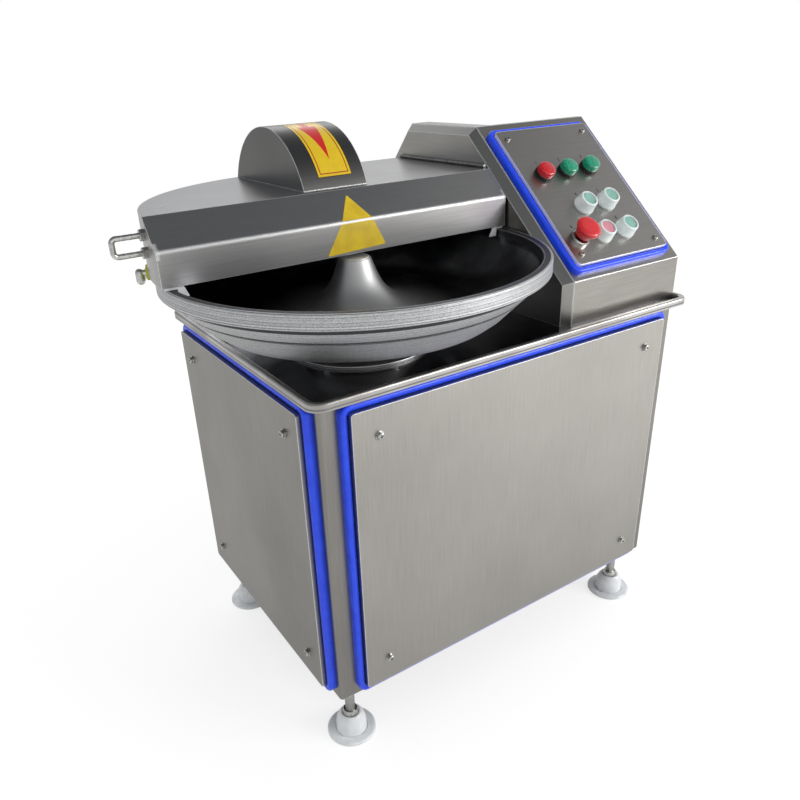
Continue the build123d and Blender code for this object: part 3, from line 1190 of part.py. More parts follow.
def control_panel():
    lamps, buttons, stop = device_spots()
    here = SLOPE.location
    middle = Pos(CONTROL_LEFT + CONTROL_WIDTH / 2, CONTROL_START + CONTROL_LENGTH / 2, 0)
    plate = middle * pan(CONTROL_WIDTH, CONTROL_LENGTH, CONTROL_FACE, CONTROL_LIP, CONTROL_CORNER)
    for u, s in lamps + buttons + [stop]:
        plate = plate - post(11 + 0.1, 0, CONTROL_FACE + 1, u, s)
    screws = []
    for u, s in control_screw_spots():
        plate = plate - post(2.2, 0, CONTROL_FACE + 1, u, s)
        head = post(4.5, CONTROL_FACE, CONTROL_FACE + 3.4)
        head = fillet(head.edges().sort_by(Axis.Z)[-1], 1.6)
        head = head - Pos(0, 0, CONTROL_FACE + 1.6) * hexagon(3, 3)
        screws.append(here * Pos(u, s, 0) * (head + post(2, -SHEET - 4, CONTROL_FACE + 0.5)))
    save("control_plate", here * plate)
    save("control_screws", *screws)
    save("lamp_bezels", *[here * Pos(u, s, 0) * lamp_bezel() for u, s in lamps])
    save("red_lamp_lens", here * Pos(*lamps[0], 0) * lamp_lens())
    save("green_lamp_lenses", *[here * Pos(u, s, 0) * lamp_lens() for u, s in lamps[1:]])
    save("button_boots", *[here * Pos(u, s, 0) * button_boot() for u, s in buttons])
    for i, (u, s) in enumerate(buttons):
        save(f"button_cap_{i + 1}", here * Pos(u, s, 0) * button_cap())
    save("stop_collar", here * Pos(*stop, 0) * stop_collar())
    save("stop_stem", here * Pos(*stop, 0) * stop_stem())
    save("stop_mushroom", here * Pos(*stop, 0) * stop_mushroom())


# ---------------------------------------------------------------- write everything
cabinet()
panels()
save("cable_gland", cable_gland())
save("tray", tray())
bowl_drive()
knife_drive()
lid()
save("head_housing", head_housing())
save("console_box", console_box())
save("belt_cover", belt_cover())
control_panel()
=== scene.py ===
"""Looks of a floor-standing bowl cutter: brushed cabinet and lid, turned bowl, sloping control panel."""

import math

import bmesh
import bpy
from mathutils import Matrix, Vector
from mathutils.geometry import interpolate_bezier


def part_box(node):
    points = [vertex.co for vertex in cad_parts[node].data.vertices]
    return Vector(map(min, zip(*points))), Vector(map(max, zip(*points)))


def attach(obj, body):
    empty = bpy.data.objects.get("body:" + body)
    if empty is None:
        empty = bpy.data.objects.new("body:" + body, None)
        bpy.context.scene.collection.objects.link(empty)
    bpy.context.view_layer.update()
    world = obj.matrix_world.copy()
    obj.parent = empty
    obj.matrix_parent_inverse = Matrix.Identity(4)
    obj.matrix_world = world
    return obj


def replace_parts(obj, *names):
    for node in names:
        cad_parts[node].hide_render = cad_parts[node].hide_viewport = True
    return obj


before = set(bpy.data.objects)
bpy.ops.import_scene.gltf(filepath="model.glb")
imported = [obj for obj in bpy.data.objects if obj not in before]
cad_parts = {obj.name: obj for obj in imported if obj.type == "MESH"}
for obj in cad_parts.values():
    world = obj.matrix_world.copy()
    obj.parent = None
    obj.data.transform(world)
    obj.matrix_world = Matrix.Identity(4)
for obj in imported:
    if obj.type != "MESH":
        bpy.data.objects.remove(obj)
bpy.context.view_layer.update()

MM = 0.001

# ------------------------------------------------------------------ places read from the frame
BOWL_LOW, BOWL_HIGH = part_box("bowl")
BOWL_AXIS = Vector(((BOWL_LOW.x + BOWL_HIGH.x) / 2, (BOWL_LOW.y + BOWL_HIGH.y) / 2, 0))
BOWL_RADIUS = (BOWL_HIGH.x - BOWL_LOW.x) / 2
TRAY_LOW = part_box("tray")[0]
DOME_LOW, DOME_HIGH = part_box("lid_dome")
SHAFT_LOW, SHAFT_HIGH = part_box("knife_shaft")
SHAFT_AXIS = (SHAFT_LOW + SHAFT_HIGH) / 2
DOME_RADIUS = DOME_HIGH.z - SHAFT_AXIS.z
LID_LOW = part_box("lid_shell")[0]
CONSOLE_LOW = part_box("console_box")[0]
PAD_LOW, PAD_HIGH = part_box("foot_pads")

# ------------------------------------------------------------------ sizes of the pieces added here
LID_FOLD_Z = 790.8 * MM             # the lid's lower front fold
LID_SLOPE = math.atan2(39.4, 38.5)  # how far the lid's sloped strip leans back from upright
LID_BEND = 8 * MM                   # radius of that fold
LID_SHEET = 2 * MM                  # thickness of the lid's sheet
KNEE_Z = 677.7 * MM                 # the lower edge of the console's slope
PANEL_SLOPE = math.atan2(210.3, 236.2)
PANEL_FACE = 14 * MM                # the control plate's face above the slope
PANEL_PLACE = (
    Matrix.Translation((CONSOLE_LOW.x, CONSOLE_LOW.y, KNEE_Z))
    @ Matrix.Rotation(PANEL_SLOPE, 4, "X")
    @ Matrix.Translation((0, 0, PANEL_FACE))
)
STICKER = 0.15 * MM                 # thickness of a printed film

# ------------------------------------------------------------------ camera
CAMERA_PLACE = Vector((-0.6421, -0.9417, 0.9844))
CAMERA_AZIMUTH = math.radians(-31.76)
CAMERA_ELEVATION = math.radians(26.13)
CAMERA_ROLL = math.radians(-2.70)
LENS_MM = 32.87
SENSOR_MM = 36.0
SHIFT_X = 0.0268
SHIFT_Y = 0.0308


def add_camera():
    """A hand-height camera, turned and tilted towards the machine."""
    data = bpy.data.cameras.new("camera")
    data.lens = LENS_MM
    data.sensor_width = SENSOR_MM
    data.shift_x = SHIFT_X
    data.shift_y = SHIFT_Y
    camera = bpy.data.objects.new("camera", data)
    bpy.context.scene.collection.objects.link(camera)
    turn = Matrix.Rotation(CAMERA_AZIMUTH, 4, "Z")
    tilt = Matrix.Rotation(math.pi / 2 - CAMERA_ELEVATION, 4, "X")
    roll = Matrix.Rotation(CAMERA_ROLL, 4, "Z")
    camera.matrix_world = Matrix.Translation(CAMERA_PLACE) @ turn @ tilt @ roll
    bpy.context.scene.camera = camera


# ------------------------------------------------------------------ shader tools
def colour(code):
    """The linear colour of an sRGB hex value such as "8f8b85"."""
    parts = [int(code[i : i + 2], 16) / 255 for i in (0, 2, 4)]
    linear = [c / 12.92 if c <= 0.04045 else ((c + 0.055) / 1.055) ** 2.4 for c in parts]
    return (*linear, 1.0)


def add(tree, kind, links=None, **settings):
    """Add a node: settings are its properties; links give a socket its value or what it reads."""
    node = tree.nodes.new(kind)
    for name, value in settings.items():
        setattr(node, name, value)
    for socket, value in (links or {}).items():
        if isinstance(value, bpy.types.Node):
            value = next(out for out in value.outputs if out.enabled)
        if isinstance(value, bpy.types.NodeSocket):
            tree.links.new(value, node.inputs[socket])
        else:
            node.inputs[socket].default_value = value
    return node


def new_material(name):
    """An empty node material and its tree."""
    made = bpy.data.materials.new(name)
    made.use_nodes = True
    made.node_tree.nodes.clear()
    return made, made.node_tree


NOISE_SPAN = {1: 0.3, 2: 0.7}       # Map Range's From values that hold nearly all of a noise texture
NOISE_CORE = {1: 0.35, 2: 0.65}     # a narrower span, for patches with clearer borders
SHARE = {3: 0.0, 4: 1.0}            # Map Range's To values for a share that grows
REST = {3: 1.0, 4: 0.0}             # and for one that shrinks


# ------------------------------------------------------------------ metals
SCRATCH_GAP = 1.0 * MM      # belt scratches are 0.05 to 0.1 mm apart, drawn coarser so that they show
SCRATCH_LENGTH = 70 * MM
CLOUD_SIZE = 260 * MM       # patches left by rolling, wiping and handling
WAVE_SIZE = 240 * MM        # slow waves in thin sheet
WAVE_DEPTH = 2.5 * MM
SCRATCH_DEPTH = 0.1 * MM
SCRATCH_SHARE = 0.4         # how far scratches and clouds turn the light colour into the dark one
CLOUD_SHARE = 0.35
EDGE_HIGHLIGHT_SPAN = {1: 0.999, 2: 0.96}     # cosine of a face's turn to its rounded edge, from flat to a painted highlight
EDGE_HIGHLIGHT_WHITE = 0.95
EDGE_HIGHLIGHT_METALLIC = 0.45
SIDE_HIGHLIGHT_SPAN = {1: 0.3, 2: 0.6}       # cosine of a face's turn from the plate's front, from side to front
FOLD_REACH = 1.6            # how far above and below its height a broad fold is rounded, in radii


def brushed_sheet(
    name, light, dark, along="x", rough=0.34, edge=1.6 * MM, fold_z=-1.0, fold_edge=0.0, face=None
):
    """304 stainless sheet with a belt-brushed satin finish: fine parallel scratches and soft clouds blur
    what it reflects, slow waves bend it, and folded edges carry a painted highlight in white. A broad fold
    at one height is rounder than the other edges; a flat plate that faces one way has painted highlights on
    its sides."""
    made, tree = new_material(name)
    gap, length = 1 / SCRATCH_GAP, 1 / SCRATCH_LENGTH
    stretch = {"x": (length, gap, gap), "y": (gap, length, gap), "z": (gap, gap, length)}[along]
    place = add(tree, "ShaderNodeTexCoord").outputs["Object"]
    lines = add(tree, "ShaderNodeMapping", {"Vector": place, "Scale": stretch})
    links = {"Vector": lines, "Scale": 1.0, "Detail": 3.0, "Roughness": 0.6}
    scratches = add(tree, "ShaderNodeTexNoise", links)
    clouds = add(tree, "ShaderNodeTexNoise", {"Vector": place, "Scale": 1 / CLOUD_SIZE, "Detail": 4.0})
    waves = add(tree, "ShaderNodeTexNoise", {"Vector": place, "Scale": 1 / WAVE_SIZE, "Detail": 0.0})
    grain = add(tree, "ShaderNodeMapRange", {0: scratches, **NOISE_SPAN, 3: 0.0, 4: SCRATCH_SHARE})
    patch = add(tree, "ShaderNodeMapRange", {0: clouds, **NOISE_SPAN, 3: 0.0, 4: CLOUD_SHARE})
    wear_and_lip_highlight = add(tree, "ShaderNodeMath", {0: grain, 1: patch}, operation="ADD")
    sheet = add(tree, "ShaderNodeMix", {0: wear_and_lip_highlight, 6: colour(light), 7: colour(dark)}, data_type="RGBA")
    height = add(tree, "ShaderNodeSeparateXYZ", {0: place}).outputs["Z"]
    near = add(tree, "ShaderNodeMath", {0: height, 1: fold_z, 2: FOLD_REACH * fold_edge}, operation="COMPARE")
    radius = add(tree, "ShaderNodeMapRange", {0: near, 1: 0.0, 2: 1.0, 3: edge, 4: max(edge, fold_edge)})
    rounded = add(tree, "ShaderNodeBevel", {"Radius": radius}, samples=6)
    normal = add(tree, "ShaderNodeNewGeometry").outputs["Normal"]
    turn = add(tree, "ShaderNodeVectorMath", {0: rounded, 1: normal}, operation="DOT_PRODUCT")
    # painted highlight: where the rounded normal turns from the face, the colour goes towards white and less
    # metallic
    links = {0: turn.outputs["Value"], **EDGE_HIGHLIGHT_SPAN, 3: 0.0, 4: EDGE_HIGHLIGHT_WHITE}
    painted_edge_highlight = add(tree, "ShaderNodeMapRange", links)
    # painted highlight: faces turned from the plate's front, its sides, are mixed towards white
    if face is not None:
        square = add(tree, "ShaderNodeVectorMath", {0: normal, 1: face}, operation="DOT_PRODUCT")
        painted_side_highlight = add(tree, "ShaderNodeMapRange", {0: square.outputs["Value"], **SIDE_HIGHLIGHT_SPAN, **REST})
        painted_edge_highlight = add(tree, "ShaderNodeMath", {0: painted_edge_highlight, 1: painted_side_highlight}, operation="MAXIMUM")
    body = add(tree, "ShaderNodeMix", {0: painted_edge_highlight, 6: sheet.outputs[2], 7: colour("ffffff")}, data_type="RGBA")
    highlight_metallic = add(tree, "ShaderNodeMapRange", {0: painted_edge_highlight, 1: 0.0, 2: 1.0, 3: 1.0, 4: EDGE_HIGHLIGHT_METALLIC})
    smear = add(tree, "ShaderNodeMapRange", {0: clouds, **NOISE_SPAN, 3: rough - 0.03, 4: rough + 0.06})
    links = {"Height": waves, "Strength": 1.0, "Distance": WAVE_DEPTH, "Normal": rounded}
    oil_can = add(tree, "ShaderNodeBump", links)
    links = {"Height": scratches, "Strength": 0.08, "Distance": SCRATCH_DEPTH, "Normal": oil_can}
    relief = add(tree, "ShaderNodeBump", links)
    links = {"Base Color": body.outputs[2], "Metallic": highlight_metallic, "Roughness": smear, "Normal": relief}
    shader = add(tree, "ShaderNodeBsdfPrincipled", links)
    add(tree, "ShaderNodeOutputMaterial", {"Surface": shader})
    return made


RIM_UNDERSIDE = {1: TRAY_LOW.z + 2.6 * MM, 2: TRAY_LOW.z + 2.9 * MM}
RIM_BAR = {1: TRAY_LOW.z + 3.2 * MM, 2: TRAY_LOW.z + 6 * MM}    # heights over which the inside turns to rim
WIPE_SIZE = 80 * MM
TRAY_EDGE = 0.8 * MM


def polished_tray_steel():
    """Stainless tray, buffed inside: a wet-looking mirror with wiping smears, whose dark colour is a painted
    reflection, inside a rim of bright brushed bar."""
    made, tree = new_material("polished_tray_steel")
    place = add(tree, "ShaderNodeTexCoord").outputs["Object"]
    height = add(tree, "ShaderNodeSeparateXYZ", {0: place}).outputs["Z"]
    above = add(tree, "ShaderNodeMapRange", {0: height, **RIM_BAR, **SHARE})
    below = add(tree, "ShaderNodeMapRange", {0: height, **RIM_UNDERSIDE, **REST})
    bar = add(tree, "ShaderNodeMath", {0: above, 1: below}, operation="MAXIMUM")
    clouds = add(tree, "ShaderNodeTexNoise", {"Vector": place, "Scale": 1 / WIPE_SIZE, "Detail": 5.0})
    patch = add(tree, "ShaderNodeMapRange", {0: clouds, **NOISE_CORE, **SHARE})
    # painted reflection: the buffed inside is given a dark colour
    links = {0: patch, 6: colour("505055"), 7: colour("75767b")}
    inside = add(tree, "ShaderNodeMix", links, data_type="RGBA")
    links = {0: patch, 6: colour("c9c7c4"), 7: colour("a9a6a2")}
    outside = add(tree, "ShaderNodeMix", links, data_type="RGBA")
    links = {0: bar, 6: inside.outputs[2], 7: outside.outputs[2]}
    body = add(tree, "ShaderNodeMix", links, data_type="RGBA")
    smear = add(tree, "ShaderNodeMapRange", {0: clouds, **NOISE_SPAN, 3: 0.12, 4: 0.26})
    rough = add(tree, "ShaderNodeMath", {0: bar, 1: 0.14, 2: smear}, operation="MULTIPLY_ADD")
    rounded = add(tree, "ShaderNodeBevel", {"Radius": TRAY_EDGE}, samples=6)
    links = {"Base Color": body.outputs[2], "Metallic": 1.0, "Roughness": rough, "Normal": rounded}
    shader = add(tree, "ShaderNodeBsdfPrincipled", links)
    add(tree, "ShaderNodeOutputMaterial", {"Surface": shader})
    return made


TURNING_PITCH = 1.7 * MM    # the lathe tool's feed marks, drawn coarser than the real 0.2 mm
GRIT_SIZE = 1.0 * MM        # bead-blast dimples, drawn coarser
STAIN_SIZE = 60 * MM
RIM_TOP = 13 * MM           # width of the rim's flat top
INNER_RADIUS = BOWL_RADIUS - RIM_TOP
INNER_EDGE = {1: INNER_RADIUS - 1.5 * MM, 2: INNER_RADIUS - 0.5 * MM}
BAND_INNER = {1: INNER_RADIUS + 1.5 * MM, 2: INNER_RADIUS + 2 * MM}     # the band on the rim's top that is painted dark as a reflection
BAND_OUTER = {1: BOWL_RADIUS - 4 * MM, 2: BOWL_RADIUS - 3 * MM}
CONE_SPAN = {1: 88 * MM, 2: 150 * MM}       # radii over which the cone's painted bright reflection turns to the trough's painted dark one
LOW_GROOVE = {1: BOWL_RADIUS - 32 * MM, 2: 2.2 * MM}    # middle radius and half width of each ring of painted shade
HIGH_GROOVE = {1: BOWL_RADIUS - 13 * MM, 2: 1.6 * MM}
UPWARD_SPAN = {1: 0.03, 2: 0.1}     # the normal's upward part, from the outside to the inside
LEVEL_SPAN = {1: 0.9, 2: 0.97}      # and from sloping to level
LIP_HIGHLIGHT_SPAN = {1: 0.99, 2: 0.93}       # cosine of a face's turn to its rounded edge, from flat to a painted highlight
LIP_HIGHLIGHT_WHITE = 0.8
OUTSIDE_RELIEF = 0.28 * MM
INSIDE_RELIEF = 0.02 * MM
OUTSIDE_ROUGH = 0.44
BOWL_EDGE = 1.0 * MM


def turned_bowl_steel():
    """Cast stainless bowl, bead-blasted outside over turning marks so that it looks pale and grainy, and
    polished inside, where a painted reflection makes the trough dark and the satin cone bright."""
    made, tree = new_material("turned_bowl_steel")
    source = add(tree, "ShaderNodeTexCoord")
    place = add(tree, "ShaderNodeMapping", {"Vector": source.outputs["Object"], "Location": -BOWL_AXIS})
    parts = add(tree, "ShaderNodeSeparateXYZ", {0: place})
    height = parts.outputs["Z"]
    flat = add(tree, "ShaderNodeCombineXYZ", {"X": parts.outputs["X"], "Y": parts.outputs["Y"]})
    radius = add(tree, "ShaderNodeVectorMath", {0: flat}, operation="LENGTH").outputs["Value"]
    facing = add(tree, "ShaderNodeSeparateXYZ", {0: source.outputs["Normal"]}).outputs["Z"]
    upward = add(tree, "ShaderNodeMapRange", {0: facing, **UPWARD_SPAN, **SHARE})
    within = add(tree, "ShaderNodeMapRange", {0: radius, **INNER_EDGE, **REST})
    inside = add(tree, "ShaderNodeMath", {0: upward, 1: within}, operation="MULTIPLY")
    # turning marks: noise that changes only along the profile
    walk = add(tree, "ShaderNodeMath", {0: radius, 1: height}, operation="ADD")
    feed = add(tree, "ShaderNodeMath", {0: walk, 1: TURNING_PITCH}, operation="DIVIDE")
    links = {"W": feed, "Scale": 1.0, "Detail": 3.0, "Roughness": 0.6}
    rings = add(tree, "ShaderNodeTexNoise", links, noise_dimensions="1D")
    grit = add(tree, "ShaderNodeTexNoise", {"Vector": place, "Scale": 1 / GRIT_SIZE, "Detail": 2.0})
    clouds = add(tree, "ShaderNodeTexNoise", {"Vector": place, "Scale": 1 / STAIN_SIZE, "Detail": 4.0})
    # two noises added together lie round 1
    speckle = add(tree, "ShaderNodeMath", {0: rings, 1: grit}, operation="ADD")
    marks = add(tree, "ShaderNodeMapRange", {0: speckle, 1: 0.8, 2: 1.2, **SHARE})
    patch = add(tree, "ShaderNodeMapRange", {0: clouds, **NOISE_CORE, **SHARE})
    links = {0: marks, 6: colour("8a8c8f"), 7: colour("e2e3e4")}
    blasted = add(tree, "ShaderNodeMix", links, data_type="RGBA")
    # painted reflection: the trough's dark colour and the cone's bright one stand for what the polished
    # inside reflects
    links = {0: patch, 6: colour("4a4b51"), 7: colour("727479")}
    trough = add(tree, "ShaderNodeMix", links, data_type="RGBA")
    rise = add(tree, "ShaderNodeMapRange", {0: radius, **CONE_SPAN, **REST})
    links = {0: rise, 6: trough.outputs[2], 7: colour("c9c9c8")}
    inner = add(tree, "ShaderNodeMix", links, data_type="RGBA")
    # painted shade darkens the two turned grooves
    low = add(tree, "ShaderNodeMath", {0: radius, **LOW_GROOVE}, operation="COMPARE")
    high = add(tree, "ShaderNodeMath", {0: radius, **HIGH_GROOVE}, operation="COMPARE")
    groove_shade = add(tree, "ShaderNodeMath", {0: low, 1: high}, operation="MAXIMUM")
    links = {0: groove_shade, 6: blasted.outputs[2], 7: colour("4a4b4e")}
    blasted = add(tree, "ShaderNodeMix", links, data_type="RGBA")
    links = {0: inside, 6: blasted.outputs[2], 7: inner.outputs[2]}
    body = add(tree, "ShaderNodeMix", links, data_type="RGBA")
    # the flat level top of the rim is polished, painted dark as a reflection, between two lips with painted
    # highlights
    inner_side = add(tree, "ShaderNodeMapRange", {0: radius, **BAND_INNER, **SHARE})
    outer_side = add(tree, "ShaderNodeMapRange", {0: radius, **BAND_OUTER, **REST})
    band = add(tree, "ShaderNodeMath", {0: inner_side, 1: outer_side}, operation="MULTIPLY")
    level = add(tree, "ShaderNodeMapRange", {0: facing, **LEVEL_SPAN, **SHARE})
    ring = add(tree, "ShaderNodeMath", {0: band, 1: level}, operation="MULTIPLY")
    links = {0: ring, 6: body.outputs[2], 7: colour("35363a")}
    body = add(tree, "ShaderNodeMix", links, data_type="RGBA")
    dull = add(tree, "ShaderNodeMapRange", {0: rise, 1: 0.0, 2: 1.0, 3: 0.26, 4: 0.44})
    rough = add(tree, "ShaderNodeMix", {0: inside, 2: OUTSIDE_ROUGH, 3: dull}, data_type="FLOAT")
    rounded = add(tree, "ShaderNodeBevel", {"Radius": BOWL_EDGE}, samples=6)
    normal = add(tree, "ShaderNodeNewGeometry").outputs["Normal"]
    turn = add(tree, "ShaderNodeVectorMath", {0: rounded, 1: normal}, operation="DOT_PRODUCT")
    wear_and_lip_highlight = add(tree, "ShaderNodeMapRange", {0: turn.outputs["Value"], **LIP_HIGHLIGHT_SPAN, 3: 0.0, 4: LIP_HIGHLIGHT_WHITE})
    # painted highlight: the bowl's edges are mixed towards white
    links = {0: wear_and_lip_highlight, 6: body.outputs[2], 7: colour("ffffff")}
    body = add(tree, "ShaderNodeMix", links, data_type="RGBA")
    links = {0: inside, 1: 0.0, 2: 1.0, 3: OUTSIDE_RELIEF, 4: INSIDE_RELIEF}
    depth = add(tree, "ShaderNodeMapRange", links)
    links = {"Height": speckle, "Strength": 0.5, "Distance": depth, "Normal": rounded}
    relief = add(tree, "ShaderNodeBump", links)
    links = {"Base Color": body.outputs[2], "Metallic": 1.0, "Roughness": rough, "Normal": relief}
    shader = add(tree, "ShaderNodeBsdfPrincipled", links)
    add(tree, "ShaderNodeOutputMaterial", {"Surface": shader})
    return made


TUMBLE_SIZE = 4 * MM        # patches worn by tumbling or handling


def machined_steel(name, light="d6d5d2", dark="a09f9c", rough=0.15, edge=0.3 * MM):
    """Turned, ground or tumbled stainless, as on screws, rods and knives: bright, with tiny worn patches."""
    made, tree = new_material(name)
    place = add(tree, "ShaderNodeTexCoord").outputs["Object"]
    wear = add(tree, "ShaderNodeTexNoise", {"Vector": place, "Scale": 1 / TUMBLE_SIZE, "Detail": 4.0})
    patch = add(tree, "ShaderNodeMapRange", {0: wear, **NOISE_CORE, **SHARE})
    body = add(tree, "ShaderNodeMix", {0: patch, 6: colour(light), 7: colour(dark)}, data_type="RGBA")
    dull = add(tree, "ShaderNodeMapRange", {0: wear, **NOISE_SPAN, 3: rough, 4: rough + 0.12})
    rounded = add(tree, "ShaderNodeBevel", {"Radius": edge}, samples=4)
    links = {"Base Color": body.outputs[2], "Metallic": 1.0, "Roughness": dull, "Normal": rounded}
    shader = add(tree, "ShaderNodeBsdfPrincipled", links)
    add(tree, "ShaderNodeOutputMaterial", {"Surface": shader})
    return made


THREAD_PITCH = 2 * MM
THREAD_DEPTH = 0.5 * MM
THREAD_START = {1: 47 * MM, 2: 48 * MM}     # heights where the plain collar ends


def threaded_spindle_steel():
    """Zinc-plated foot spindle with a rolled thread: painted shade darkens the roots between bright crests
    one pitch apart, and a plain turned collar at its foot."""
    made, tree = new_material("threaded_spindle_steel")
    place = add(tree, "ShaderNodeTexCoord").outputs["Object"]
    height = add(tree, "ShaderNodeSeparateXYZ", {0: place}).outputs["Z"]
    turns = add(tree, "ShaderNodeMath", {0: height, 1: THREAD_PITCH / 2}, operation="PINGPONG")
    crest = add(tree, "ShaderNodeMapRange", {0: turns, 1: 0.0, 2: THREAD_PITCH / 2, **SHARE})
    collar = add(tree, "ShaderNodeMapRange", {0: height, **THREAD_START, **REST})
    thread = add(tree, "ShaderNodeMath", {0: crest, 1: collar}, operation="ADD", use_clamp=True)
    # painted shade in the thread's roots
    body = add(tree, "ShaderNodeMix", {0: thread, 6: colour("858480"), 7: colour("dbdad6")}, data_type="RGBA")
    relief = add(tree, "ShaderNodeBump", {"Height": thread, "Strength": 0.6, "Distance": THREAD_DEPTH})
    links = {"Base Color": body.outputs[2], "Metallic": 1.0, "Roughness": 0.3, "Normal": relief}
    shader = add(tree, "ShaderNodeBsdfPrincipled", links)
    add(tree, "ShaderNodeOutputMaterial", {"Surface": shader})
    return made


PEEL_SIZE = 2.2 * MM
PEEL_DEPTH = 0.3 * MM
CAST_EDGE = 1.0 * MM
PAINT_DRIFT = 60 * MM


def painted_casting(name, light, dark, rough=0.42):
    """Grey iron or aluminium casting under stoved paint: an even colour with a sandy orange-peel skin."""
    made, tree = new_material(name)
    place = add(tree, "ShaderNodeTexCoord").outputs["Object"]
    peel = add(tree, "ShaderNodeTexNoise", {"Vector": place, "Scale": 1 / PEEL_SIZE, "Detail": 2.0})
    clouds = add(tree, "ShaderNodeTexNoise", {"Vector": place, "Scale": 1 / PAINT_DRIFT, "Detail": 3.0})
    patch = add(tree, "ShaderNodeMapRange", {0: clouds, **NOISE_CORE, **SHARE})
    body = add(tree, "ShaderNodeMix", {0: patch, 6: colour(light), 7: colour(dark)}, data_type="RGBA")
    rounded = add(tree, "ShaderNodeBevel", {"Radius": CAST_EDGE}, samples=4)
    links = {"Height": peel, "Strength": 0.3, "Distance": PEEL_DEPTH, "Normal": rounded}
    relief = add(tree, "ShaderNodeBump", links)
    links = {"Base Color": body.outputs[2], "Roughness": rough, "Normal": relief}
    shader = add(tree, "ShaderNodeBsdfPrincipled", links)
    add(tree, "ShaderNodeOutputMaterial", {"Surface": shader})
    return made


# ------------------------------------------------------------------ rubber, plastics and film
SKIN_SIZE = 0.8 * MM
SKIN_DEPTH = 0.15 * MM
MOULD_DRIFT = 18 * MM
GLOW_DEPTH = 2 * MM         # how far light goes into pale plastic


def moulded(name, light, dark, rough=0.4, coat=0.0, grit=0.15, soft=0.0, edge=0.5 * MM):
    """Moulded nylon, acetal, silicone or rubber: a slight drift of colour and roughness from the tool, and
    a fine skin that breaks up the highlight."""
    made, tree = new_material(name)
    place = add(tree, "ShaderNodeTexCoord").outputs["Object"]
    skin = add(tree, "ShaderNodeTexNoise", {"Vector": place, "Scale": 1 / SKIN_SIZE, "Detail": 2.0})
    clouds = add(tree, "ShaderNodeTexNoise", {"Vector": place, "Scale": 1 / MOULD_DRIFT, "Detail": 3.0})
    patch = add(tree, "ShaderNodeMapRange", {0: clouds, **NOISE_CORE, **SHARE})
    body = add(tree, "ShaderNodeMix", {0: patch, 6: colour(light), 7: colour(dark)}, data_type="RGBA")
    dull = add(tree, "ShaderNodeMapRange", {0: clouds, **NOISE_SPAN, 3: rough - 0.04, 4: rough + 0.06})
    rounded = add(tree, "ShaderNodeBevel", {"Radius": edge}, samples=4)
    links = {"Height": skin, "Strength": grit, "Distance": SKIN_DEPTH, "Normal": rounded}
    relief = add(tree, "ShaderNodeBump", links)
    links = {
        "Base Color": body.outputs[2],
        "Roughness": dull,
        "Normal": relief,
        "Coat Weight": coat,
        "Coat Roughness": 0.08,
        "Subsurface Weight": soft,
        "Subsurface Radius": (GLOW_DEPTH, GLOW_DEPTH, GLOW_DEPTH),
    }
    shader = add(tree, "ShaderNodeBsdfPrincipled", links)
    add(tree, "ShaderNodeOutputMaterial", {"Surface": shader})
    return made


PRISM_SIZE = 2.6 * MM
PRISM_DEPTH = 0.3 * MM
LENS_EDGE = 0.6 * MM


def lamp_acrylic(name, light, dark):
    """Dyed acrylic lamp lens: deep clear colour, glossy skin, and the small prisms moulded inside it."""
    made, tree = new_material(name)
    place = add(tree, "ShaderNodeTexCoord").outputs["Object"]
    prisms = add(tree, "ShaderNodeTexVoronoi", {"Vector": place, "Scale": 1 / PRISM_SIZE})
    patch = add(tree, "ShaderNodeMapRange", {0: prisms, 1: 0.1, 2: 0.7, **SHARE})
    body = add(tree, "ShaderNodeMix", {0: patch, 6: colour(light), 7: colour(dark)}, data_type="RGBA")
    rounded = add(tree, "ShaderNodeBevel", {"Radius": LENS_EDGE}, samples=4)
    links = {"Height": prisms, "Strength": 0.2, "Distance": PRISM_DEPTH, "Normal": rounded}
    relief = add(tree, "ShaderNodeBump", links)
    links = {
        "Base Color": body.outputs[2],
        "Roughness": 0.2,
        "Normal": relief,
        "Coat Weight": 1.0,
        "Coat Roughness": 0.05,
    }
    shader = add(tree, "ShaderNodeBsdfPrincipled", links)
    add(tree, "ShaderNodeOutputMaterial", {"Surface": shader})
    return made


ARROW_MIDDLE = DOME_LOW.x + 56.2 * MM
ARROW_WIDTH = 56 * MM
ARROW_TURN = (math.radians(2), math.radians(62))    # how far the film reaches down the dome's front
ARROW_LENGTH = DOME_RADIUS * (ARROW_TURN[1] - ARROW_TURN[0])
ARROW_POINT = 0.20          # shares of the film's length from its lower end
ARROW_SHOULDER = 0.80
ARROW_OVERLAP = 0.02
ARROW_END = 0.95
ARROW_HEAD = 0.27           # half widths as shares of the film's width
ARROW_SHAFT = 0.10
BORDER_WIDTH = 1.0 * MM
LINE_GAP = 5.2 * MM         # from the film's edge to the middle of the red line
LINE_HALF = 0.8 * MM
INK_DRIFT = 9 * MM


